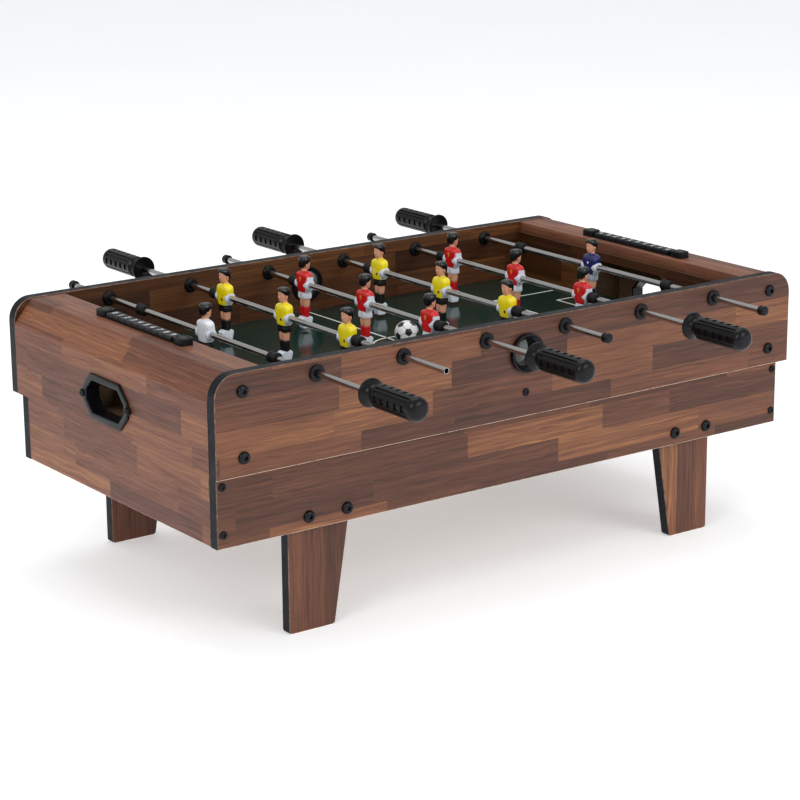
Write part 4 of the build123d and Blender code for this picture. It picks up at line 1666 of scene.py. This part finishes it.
@dataclass
class RodSet:
    """The tubes, handles, end caps and bumpers of the six rods."""

    wall: float = 0.6 * MM
    lip: float = 0.15 * MM

    def build(self) -> None:
        """Builds each rod's pieces on its spinning body and its bumpers on its sliding one."""
        grip = Handle().model()
        for number, axis in enumerate(rod_axes(), start=1):
            self.tube(number, axis)
            self.handle(number, axis, grip)
            if f"rod_{number}_cap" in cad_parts:
                self.cap(number, axis)
            self.bumpers(number, axis)
        discard(grip)

    def tube(self, number: int, axis: Vector) -> None:
        """The chromed tube, open at both ends.

        Args:
            number: the rod's number, from the left.
            axis: where the rod crosses the middle of the table.
        """
        box = Box.of(f"rod_{number}_tube")
        radius = box.size.x / 2
        bore = radius - self.wall
        low, high = box.low.y, box.high.y
        stations = [low + (high - low) * step / 12 for step in range(1, 12)]
        tube = turned(
            f"rod_{number}_steel_tube",
            [
                (low, bore + self.lip),
                (low, radius - self.lip),
                (low + self.lip, radius),
                *((station, radius) for station in stations),
                (high - self.lip, radius),
                (high, radius - self.lip),
                (high, bore + self.lip),
                (high - self.lip, bore),
                (low + self.lip, bore),
            ],
            32,
            ring=True,
        )
        moved(tube, along_y(axis.x, 0, axis.z, 1))
        coat(tube, CHROME)
        deliver(smooth(tube), f"rod_{number}", "chromed_tube", f"rod_{number}_tube")

    def handle(self, number: int, axis: Vector, grip: Piece) -> None:
        """The rod's own copy of the grip.

        Args:
            number: the rod's number, from the left.
            axis: where the rod crosses the middle of the table.
            grip: the pattern.
        """
        box = Box.of(f"rod_{number}_handle")
        side = 1 if box.middle.y > 0 else -1
        rim_y = box.low.y if side > 0 else box.high.y
        handle = copied(grip, f"rod_{number}_grip", along_y(axis.x, rim_y, axis.z, side))
        deliver(handle, f"rod_{number}", "grip_plastic", f"rod_{number}_handle")

    def cap(self, number: int, axis: Vector) -> None:
        """The rounded plastic cap on the free end of the tube.

        Args:
            number: the rod's number, from the left.
            axis: where the rod crosses the middle of the table.
        """
        box = Box.of(f"rod_{number}_cap")
        side = 1 if box.middle.y > 0 else -1
        mouth_y = box.low.y if side > 0 else box.high.y
        radius, length = box.size.x / 2, box.size.y
        bore = Box.of(f"rod_{number}_tube").size.x / 2
        cap = turned(
            f"rod_{number}_end_cap",
            [
                (length - 1.6 * MM, bore * 0.5),
                (length - 1.6 * MM, bore + 0.03 * MM),
                (0, bore + 0.03 * MM),
                (0, radius - 0.4 * MM),
                (0.4 * MM, radius),
                (1.6 * MM, radius),
                (1.8 * MM, radius - 0.25 * MM),
                (length - radius * 0.5, radius - 0.25 * MM),
                *arc((length - radius * 0.5, radius * 0.5), radius * 0.5 - 0.02 * MM, 0, 88, 6)[1:],
                (length, radius * 0.1),
            ],
            32,
        )
        moved(cap, along_y(axis.x, mouth_y, axis.z, side))
        coat(cap, ABS_BLACK)
        deliver(smooth(cap), f"rod_{number}", "black_plastic", f"rod_{number}_cap")

    def bumpers(self, number: int, axis: Vector) -> None:
        """The two rubber stops, ribbed at both ends.

        Args:
            number: the rod's number, from the left.
            axis: where the rod crosses the middle of the table.
        """
        pieces = []
        for box in solids_in(f"rod_{number}_bumpers"):
            radius, length = box.size.x / 2, box.size.y
            bore = Box.of(f"rod_{number}_tube").size.x / 2 + 0.05 * MM
            waist = radius - 0.7 * MM
            stop = turned(
                "bumper",
                [
                    (0, bore),
                    (0, radius - 0.8 * MM),
                    (0.8 * MM, radius),
                    (length * 0.28, radius),
                    (length * 0.33, waist),
                    (length * 0.67, waist),
                    (length * 0.72, radius),
                    (length - 0.8 * MM, radius),
                    (length, radius - 0.8 * MM),
                    (length, bore),
                ],
                32,
                ring=True,
            )
            pieces.append(moved(stop, along_y(axis.x, box.low.y, axis.z, 1)))
        bumpers = smooth(coat(joined(f"rod_{number}_bumper_pair", pieces), RUBBER))
        deliver(bumpers, f"bumpers_{number}", "bumper_rubber", f"rod_{number}_bumpers")


# ---- Players -------------------------------------------------------------------------------------
@dataclass(frozen=True)
class Kit:
    """What a team wears, as sRGB hex colours of the paint on its moulded figures.

    The paint mask leaves the figure's sides bare up to a height, in millimetres from the rod.
    """

    team: str
    shirt: str
    shorts: str
    socks: str
    print_colour: str
    badge_at: tuple[float, float]
    bare_up_to: float
    number: str = ""


KITS = {
    "white": Kit("white", "#e8ebf2", "#101115", "#e8ebf2", "#c3c8d6", (2.4, 6.0), 3.0),
    "yellow": Kit("yellow", "#f4e00a", "#0d0d10", "#0d0d10", "#0d0d0d", (2.6, -1.8), 1.5),
    "red": Kit("red", "#d20d16", "#e6e9f2", "#c60d15", "#d9a73a", (2.4, 6.0), 8.5, number="9"),
    "navy": Kit("navy", "#151c5e", "#a4aebc", "#10163a", "#e6e9f2", (0.6, 4.6), 3.0),
}


@dataclass
class Figure:
    """A moulded player on its rod, facing +X, with the rod's axis through the origin.

    Sizes here are in millimetres, and the mesh is scaled once it is whole.
    """

    round_corner: float = 0.29
    square_corner: float = 0.19
    cage: float = 1 / 0.97
    hub_half: float = 11.0
    hub_radius: float = 5.5
    hub_bore: float = 3.02
    badge_radius: float = 1.35
    chest: float = 5.75

    def limb(
        self,
        finish: Finish,
        rings: Sequence[tuple[float, float, float, float]],
        y: float = 0.0,
        levels: int = 2,
        square: bool = False,
    ) -> Piece:
        """Lofts a smooth closed form upwards through eight-sided rings.

        Args:
            finish: the paint or plastic on it.
            rings: height, place along X, depth along X and width along Y of each ring.
            y: place of its middle along Y.
            levels: how often the cage is subdivided.
            square: whether its section is boxy.

        Returns:
            The smooth form.
        """
        height, x, depth, width = rings[0]
        piece = sheet("limb", (0, 0, 0), 1, 1)
        corner = self.square_corner if square else self.round_corner
        with editing(piece):
            bpy.ops.mesh.select_all(action="SELECT")
            bpy.ops.mesh.bevel(offset=corner * math.sqrt(0.5), affect="VERTICES", offset_type="OFFSET")
            bpy.ops.mesh.select_mode(type="FACE")
            bpy.ops.mesh.select_all(action="SELECT")
            bpy.ops.transform.translate(value=(x, y, height))
            bpy.ops.transform.resize(
                value=(depth * self.cage, width * self.cage, 1), center_override=(x, y, height)
            )
            for before, after in pairwise(rings):
                step = (after[1] - before[1], 0, after[0] - before[0])
                bpy.ops.mesh.extrude_region_move(TRANSFORM_OT_translate={"value": step})
                bpy.ops.transform.resize(
                    value=(after[2] / before[2], after[3] / before[3], 1),
                    center_override=(after[1], y, after[0]),
                )
        face_outwards(piece)
        with_modifier(piece, "SUBSURF", levels=levels, render_levels=levels)
        coat(piece, finish)
        return smooth(piece, 60)

    def model(self, kit: Kit) -> Piece:
        """One whole figure in a team's kit.

        Args:
            kit: what the team wears.

        Returns:
            The figure in metres.
        """
        skin = MouldedSkin("figure_paint_skin", "#e0a283", 0.42, clouding=0.05)
        hair = MouldedSkin("figure_paint_hair", "#0a0a0d", 0.25)
        bare = MouldedSkin("figure_plastic_white", "#dfe4ef", 0.38, clouding=0.03)
        shirt = MouldedSkin(f"figure_paint_shirt_{kit.team}", kit.shirt, 0.3, clouding=0.08, coat=0.3)
        shorts = MouldedSkin(f"figure_paint_shorts_{kit.team}", kit.shorts, 0.36, clouding=0.05)
        socks = MouldedSkin(f"figure_paint_socks_{kit.team}", kit.socks, 0.36, clouding=0.05)
        ink = MouldedSkin(f"figure_print_{kit.team}", kit.print_colour, 0.4)
        parts = [
            *self.upper_body(kit, shirt, bare),
            self.hub(bare),
            *self.lower_body(shorts, skin, socks, bare),
            *self.head(skin, hair),
        ]
        if kit.number:
            parts.append(self.back_number(kit.number, ink))
        else:
            parts.append(self.badge(ink, kit.badge_at))
        figure = joined(f"{kit.team}_figure", parts)
        return moved(figure, Matrix.Scale(MM, 4))

    def upper_body(self, kit: Kit, shirt: Finish, bare: Finish) -> list[Piece]:
        """The boxy shirt with a collar, and arms moulded against its sides.

        Args:
            kit: what the team wears.
            shirt: paint of the shirt.
            bare: unpainted plastic.

        Returns:
            Torso, collar and arms.
        """
        torso = self.limb(
            shirt,
            [
                (-8.6, 0.0, 9.2, 12.6),
                (-7.8, 0.0, 10.2, 14.0),
                (-3.0, 0.0, 11.2, 16.6),
                (3.0, 0.1, 11.5, 18.8),
                (8.0, 0.0, 11.2, 20.0),
                (10.8, -0.2, 10.0, 19.6),
                (12.2, -0.3, 8.4, 15.0),
                (13.4, -0.3, 6.6, 8.6),
            ],
            square=True,
        )
        collar = self.limb(
            shirt, [(11.8, -0.3, 6.6, 7.4), (13.2, -0.3, 7.4, 8.2), (14.2, -0.5, 6.6, 7.2)], levels=1
        )
        made = [torso, collar]
        for side in (-1, 1):
            arm = self.limb(
                shirt,
                [
                    (-4.0, 1.2, 5.0, 2.4),
                    (-2.6, 1.2, 6.6, 3.4),
                    (2.0, 0.8, 7.6, 3.8),
                    (6.6, 0.1, 8.6, 4.0),
                    (9.2, -0.1, 7.8, 3.6),
                    (10.8, -0.2, 5.0, 2.4),
                ],
                side * 8.9,
            )
            low = kit.bare_up_to
            coat(arm, bare, lambda face: face.normal.y * side > 0.6 and face.center.z < low)
            coat(torso, bare, lambda face: face.normal.y * side > 0.85 and face.center.z < low)
            made.append(arm)
        return made

    def hub(self, bare: Finish) -> Piece:
        """The boss that clamps the figure on its rod, with bare plastic rings at both ends.

        Args:
            bare: unpainted plastic.

        Returns:
            The boss.
        """
        half, radius, bore = self.hub_half, self.hub_radius, self.hub_bore
        hub = turned(
            "hub",
            [
                (-half, bore),
                (-half, radius - 0.8),
                (-half + 0.6, radius),
                (half - 0.6, radius),
                (half, radius - 0.8),
                (half, bore),
            ],
            32,
            ring=True,
        )
        moved(hub, Matrix.Rotation(math.radians(-90), 4, "X"))
        coat(hub, bare)
        return smooth(hub)

    def leg(self, side: int, shorts: Finish, skin: Finish, socks: Finish, bare: Finish) -> list[Piece]:
        """One leg of the shorts, a thigh, a sock with its turned top and a boot.

        Args:
            side: 1 or -1, towards +Y or -Y.
            shorts: paint of the shorts.
            skin: paint of the skin.
            socks: paint of the socks.
            bare: unpainted plastic.

        Returns:
            The four forms.
        """
        hem = self.limb(
            shorts,
            [(-15.0, 0.1, 8.4, 5.2), (-14.6, 0.1, 9.6, 6.4), (-11, 0, 9.9, 6.6), (-8.0, 0, 9.2, 5.6)],
            side * 3.3,
            square=True,
        )
        thigh = self.limb(
            skin,
            [(-24.6, 0, 6.4, 4.2), (-20, 0.2, 7.2, 4.8), (-16, 0.1, 7.8, 5.1), (-12.5, 0, 7.6, 5.0)],
            side * 2.6,
        )
        sock = self.limb(
            socks,
            [
                (-36.0, 0, 6.2, 4.0),
                (-33.0, 0, 6.6, 4.2),
                (-29.0, -0.3, 7.2, 4.6),
                (-25.6, 0, 7.0, 4.5),
                (-25.2, 0, 7.5, 4.9),
                (-23.8, 0, 7.5, 4.9),
                (-23.5, 0, 6.4, 4.0),
            ],
            side * 2.4,
        )
        boot = self.limb(
            bare,
            [
                (-46.0, 0, 8.6, 4.0),
                (-45.7, 0, 9.4, 4.4),
                (-41.5, 0.0, 11.6, 4.5),
                (-37.2, 0.1, 14.4, 4.5),
                (-35.4, 0.1, 14.4, 4.3),
                (-34.4, -0.4, 10.6, 4.2),
                (-33.4, -0.4, 7.4, 4.4),
            ],
            side * 2.25,
            square=True,
        )
        return [hem, thigh, sock, boot]

    def lower_body(self, shorts: Finish, skin: Finish, socks: Finish, bare: Finish) -> list[Piece]:
        """The seat of the shorts and the two legs.

        Args:
            shorts: paint of the shorts.
            skin: paint of the skin.
            socks: paint of the socks.
            bare: unpainted plastic.

        Returns:
            Every form below the hub.
        """
        seat = self.limb(
            shorts,
            [(-12.4, 0, 9.0, 11.6), (-10, 0, 9.8, 12.8), (-7.2, 0, 9.9, 13.4), (-6.4, 0, 9, 12)],
            square=True,
        )
        legs = [piece for side in (-1, 1) for piece in self.leg(side, shorts, skin, socks, bare)]
        return [seat, *legs]

    def head(self, skin: Finish, hair: Finish) -> list[Piece]:
        """Neck, head, ears, nose and combed hair.

        Args:
            skin: paint of the skin.
            hair: paint of the hair.

        Returns:
            The forms of the head.
        """
        neck = self.limb(skin, [(11.5, -0.4, 5.8, 5.8), (13.5, -0.3, 5.6, 5.6), (17.5, -0.3, 5.6, 5.4)])
        face = self.limb(
            skin,
            [
                (14.4, 2.2, 3.4, 3.4),
                (15.2, 1.7, 6.0, 5.2),
                (17.4, 0.8, 8.8, 7.6),
                (20.4, 0.2, 10.2, 9.0),
                (24.0, 0.0, 10.6, 9.6),
                (27.0, 0.0, 8.8, 8.2),
                (28.2, 0.0, 5.0, 5.0),
            ],
        )
        nose = self.limb(
            skin,
            [(18.4, 5.4, 1.0, 1.5), (18.9, 5.7, 1.6, 1.9), (20.6, 5.3, 1.1, 1.2), (22.0, 4.9, 0.8, 0.8)],
            levels=1,
        )
        ears = [
            self.limb(
                skin,
                [
                    (18.6, -0.2, 1.4, 0.9),
                    (19.8, -0.2, 2.4, 1.3),
                    (21.4, -0.4, 2.6, 1.4),
                    (22.2, -0.4, 1.6, 0.9),
                ],
                side * 4.7,
                levels=1,
            )
            for side in (-1, 1)
        ]
        cap = self.limb(
            hair,
            [
                (16.8, -2.2, 6.0, 7.0),
                (18.8, -1.2, 8.4, 9.8),
                (22.0, -0.3, 10.6, 10.8),
                (25.4, 0.4, 12.0, 11.2),
                (27.8, 0.6, 11.0, 10.0),
                (29.0, 0.5, 7.6, 6.8),
            ],
        )
        with editing(cap):
            bpy.ops.mesh.select_all(action="SELECT")
            bpy.ops.mesh.bisect(
                plane_co=(1.8, 0, 22.4), plane_no=(0.62, 0, -0.78), use_fill=True, clear_outer=True
            )
        coat(cap, hair)
        return [neck, face, nose, *ears, smooth(cap, 50)]

    def badge(self, ink: Finish, at: tuple[float, float]) -> Piece:
        """A small plain round print on the chest.

        Args:
            ink: the printed colour.
            at: its place along Y and Z.

        Returns:
            The print.
        """
        y, z = at
        radius = self.badge_radius
        badge = turned("badge", [(-0.6, radius), (0.1, radius), (0.22, radius - 0.2)], 24)
        moved(badge, Matrix.Translation((self.chest, y, z)) @ Matrix.Rotation(math.radians(90), 4, "Y"))
        return coat(badge, ink)

    def back_number(self, text: str, ink: Finish) -> Piece:
        """A plain number on the back of the shirt.

        Args:
            text: the digits.
            ink: the printed colour.

        Returns:
            The print.
        """
        number = lettering(text, 5.2, 0.35)
        turn = Matrix.Rotation(math.radians(-90), 4, "Z") @ Matrix.Rotation(math.radians(90), 4, "X")
        moved(number, Matrix.Translation((-5.6, 0, 5.4)) @ turn)
        return coat(number, ink)


@dataclass
class Teams:
    """All fourteen players."""

    def build(self) -> None:
        """Models one figure for each team and puts a copy on every place."""
        axes = rod_axes()
        for team, kit in KITS.items():
            figure = Figure().model(kit)
            nodes = sorted(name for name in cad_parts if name.startswith(f"{team}_player_"))
            for node in nodes:
                number = int(node.split("_")[2])
                axis = axes[number - 1]
                middle = Box.of(node).middle
                turn = 180 if team in ("yellow", "navy") else 0
                place = Matrix.Translation((axis.x, middle.y, axis.z))
                place = place @ Matrix.Rotation(math.radians(turn), 4, "Z")
                player = copied(figure, node.replace("player", "figure"), place)
                deliver(player, f"rod_{number}", f"{team}_player", node)
            discard(figure)


# ---- Score counters and ball ---------------------------------------------------------------------
@dataclass
class Scorers:
    """The score rails on both end boards and their numbered beads."""

    base: float = 1.6 * MM
    rib: tuple[float, float] = (4 * MM, 1.6 * MM)
    end_length: float = 16 * MM
    end_corner: float = 3.4 * MM
    end_edge: float = 0.9 * MM
    bead_inset: float = 0.9 * MM
    bead_edge: float = 0.8 * MM
    digit_height: float = 6.2 * MM
    digit_relief: float = 0.12 * MM

    def build(self) -> None:
        """Builds both rails and their beads."""
        self.rails()
        for end in ("left", "right"):
            self.beads(end)

    def rails(self) -> None:
        """Thin bases with a guide rib, between raised end blocks."""
        pieces = []
        for box in solids_in("score_rails"):
            inset = Vector((self.bead_inset, self.end_corner, 0))
            base_top = box.low.z + self.base
            pieces.append(block("rail_base", box.low + inset, (*(box.high - inset).xy, base_top)))
            half = Vector((self.rib[0] / 2, box.size.y / 2 - self.end_corner, 0))
            rib = block("rail_rib", box.middle - half - Vector((0, 0, box.size.z / 2)), box.middle + half)
            with editing(rib):
                pick(rib, Part.FACES, lambda face: face.normal.z > 0.9)
                drop = base_top + self.rib[1] - box.middle.z
                bpy.ops.transform.translate(value=(0, 0, drop))
            pieces.append(rib)
            for low_y in (box.low.y, box.high.y - self.end_length):
                low = (box.low.x, low_y, box.low.z)
                pieces.append(self.end_block(low, (box.high.x, low_y + self.end_length, box.high.z)))
        rails = coat(joined("score_rail_pair", pieces), ABS_BLACK)
        deliver(smooth(rails, 30), "cabinet", "black_plastic", "score_rails")

    def end_block(self, low: Sequence[float], high: Sequence[float]) -> Piece:
        """A raised end with round corners and a dished top that holds an oval pad.

        Args:
            low: its lowest corner.
            high: its highest corner.

        Returns:
            The end block.
        """
        end = block("rail_end", low, high)
        bevel(end, lambda edge: runs_along(edge, 2), self.end_corner, 5)
        top = high[2]
        bevel(end, lambda e: not runs_along(e, 2) and centre_of(e).z > top - WELD, self.end_edge, 3)
        with editing(end):
            pick(end, Part.FACES, lambda face: face.normal.z > 0.99)
            bpy.ops.mesh.inset(thickness=0.8 * MM, depth=0)
            bpy.ops.mesh.inset(thickness=0.4 * MM, depth=-0.8 * MM)
            bpy.ops.mesh.inset(thickness=0.9 * MM, depth=0)
            bpy.ops.mesh.inset(thickness=0.5 * MM, depth=0.7 * MM)
        return end

    def beads(self, end: str) -> None:
        """Ten black beads with white digits that read from the end of the table.

        Args:
            end: "left" or "right".
        """
        node = f"score_beads_{end}"
        pieces = []
        turn = Matrix.Rotation(math.radians(-90 if end == "left" else 90), 4, "Z")
        boxes = solids_in(node)
        if end == "left":
            boxes.reverse()
        inset = Vector((self.bead_inset, 0, 0))
        for digit, box in enumerate(boxes):
            bead = block("bead", box.low + inset, box.high - inset)
            bevel(bead, lambda e: centre_of(e).z > box.high.z - WELD, self.bead_edge, 3)
            coat(bead, BEAD_BLACK)
            pieces.append(smooth(bead, 25))
            numeral = lettering(str(digit), self.digit_height, self.digit_relief)
            moved(numeral, Matrix.Translation((box.middle.x, box.middle.y, box.high.z)) @ turn)
            pieces.append(coat(numeral, INK_WHITE))
        beads = joined(f"{end}_counting_beads", pieces)
        deliver(beads, f"beads_{end}", "bead_plastic", node)


@dataclass
class Ball:
    """A small football of twelve black and twenty white panels with grey seams."""

    seam: float = 0.22 * MM
    turn: tuple[float, float, float] = (0.5, 0.35, 0.2)

    def build(self) -> None:
        """Cuts the corners off an icosahedron, insets its seams and rounds it."""
        box = Box.of("ball")
        radius = box.size.x / 2
        bpy.ops.object.select_all(action="DESELECT")
        bpy.ops.mesh.primitive_ico_sphere_add(subdivisions=1, radius=radius)
        ball = settle(bpy.context.active_object, "football")
        with editing(ball):
            bpy.ops.mesh.select_all(action="SELECT")
            bpy.ops.mesh.bevel(offset_type="PERCENT", offset_pct=100 / 3, affect="VERTICES")
        coat(ball, BALL_SEAM)
        coat(ball, BALL_WHITE, lambda face: len(face.vertices) == 6)
        coat(ball, BALL_BLACK, lambda face: len(face.vertices) == 5)
        with editing(ball):
            bpy.ops.mesh.select_mode(type="FACE")
            bpy.ops.mesh.select_all(action="SELECT")
            bpy.ops.mesh.inset(use_individual=True, thickness=self.seam)
            bpy.ops.mesh.select_all(action="INVERT")
            bpy.context.object.active_material_index = 0
            bpy.ops.object.material_slot_assign()
            bpy.ops.mesh.select_all(action="INVERT")
            bpy.ops.mesh.poke()
            bpy.ops.mesh.select_all(action="SELECT")
            bpy.ops.mesh.subdivide(number_cuts=5)
        with_modifier(ball, "CAST", factor=1.0, cast_type="SPHERE", size=radius, use_radius_as_size=False)
        place = Matrix.Translation(box.middle)
        for axis, angle in zip("XYZ", self.turn):
            place = place @ Matrix.Rotation(angle, 4, axis)
        moved(ball, place)
        deliver(smooth(ball, 60), "ball", "ball_white", "ball")


# ---- Studio --------------------------------------------------------------------------------------
@dataclass
class Studio:
    """A plain pale floor, soft light and the camera."""

    target: tuple[float, float, float] = (-8.8 * MM, 0, 143.5 * MM)
    distance: float = 2.4684
    azimuth: float = -35.88
    elevation: float = 15.52
    roll: float = -0.47
    lens: float = 110.46

    def build(self) -> None:
        """Makes the floor, the light and the camera."""
        self.floor()
        self.light()
        self.camera()

    def floor(self) -> None:
        """A wide pale floor."""
        bpy.ops.object.select_all(action="DESELECT")
        bpy.ops.mesh.primitive_plane_add(size=60)
        floor = settle(bpy.context.active_object, "studio_floor")
        coat(floor, STUDIO_PAPER)

    def lamp(self, name: str, place: Sequence[float], size: float, power: float) -> None:
        """A square soft box that points at the table.

        Args:
            name: the lamp's name.
            place: where it stands.
            size: length of its side.
            power: its power in watts.
        """
        data = bpy.data.lights.new(name, "AREA")
        data.size = size
        data.energy = power
        lamp = bpy.data.objects.new(name, data)
        lamp.location = place
        aim = Vector(self.target) - Vector(place)
        lamp.rotation_mode = "QUATERNION"
        lamp.rotation_quaternion = aim.to_track_quat("-Z", "Y")
        bpy.context.collection.objects.link(lamp)

    def light(self) -> None:
        """White surroundings and three soft boxes."""
        world = bpy.data.worlds.new("studio_white")
        bpy.context.scene.world = world
        world.use_nodes = True
        sky = world.node_tree.nodes["Background"]
        sky.inputs["Color"].default_value = (1, 1, 1, 1)
        sky.inputs["Strength"].default_value = 0.6
        self.lamp("key_softbox", (-2.8, -1.3, 2.2), 1.4, 31)
        self.lamp("top_softbox", (0.2, 0.6, 2.8), 2.0, 22)
        self.lamp("front_softbox", (0.8, -3.2, 1.8), 1.8, 40)
        bpy.context.scene.view_settings.view_transform = "Standard"

    def camera(self) -> None:
        """The camera, with everything in focus."""
        azimuth, elevation = math.radians(self.azimuth), math.radians(self.elevation)
        back = Vector(
            (
                math.sin(azimuth) * math.cos(elevation),
                -math.cos(azimuth) * math.cos(elevation),
                math.sin(elevation),
            )
        )
        data = bpy.data.cameras.new("studio_camera")
        data.lens = self.lens
        camera = bpy.data.objects.new("studio_camera", data)
        camera.location = Vector(self.target) + back * self.distance
        camera.rotation_mode = "QUATERNION"
        aim = (-back).to_track_quat("-Z", "Y")
        camera.rotation_quaternion = aim @ Quaternion((0, 0, 1), math.radians(self.roll))
        bpy.context.collection.objects.link(camera)
        bpy.context.scene.camera = camera


def main() -> None:
    """Builds the object class by class, then the studio."""
    logging.basicConfig(level=logging.INFO, format="%(message)s")
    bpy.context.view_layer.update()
    classes = (Studio, Cabinet, PlayingField, Fittings, Fasteners, RodSet, Teams, Scorers, Ball)
    for builder in (made() for made in classes):
        log.info("building %s", type(builder).__name__)
        builder.build()


if __name__ == "__main__":
    main()
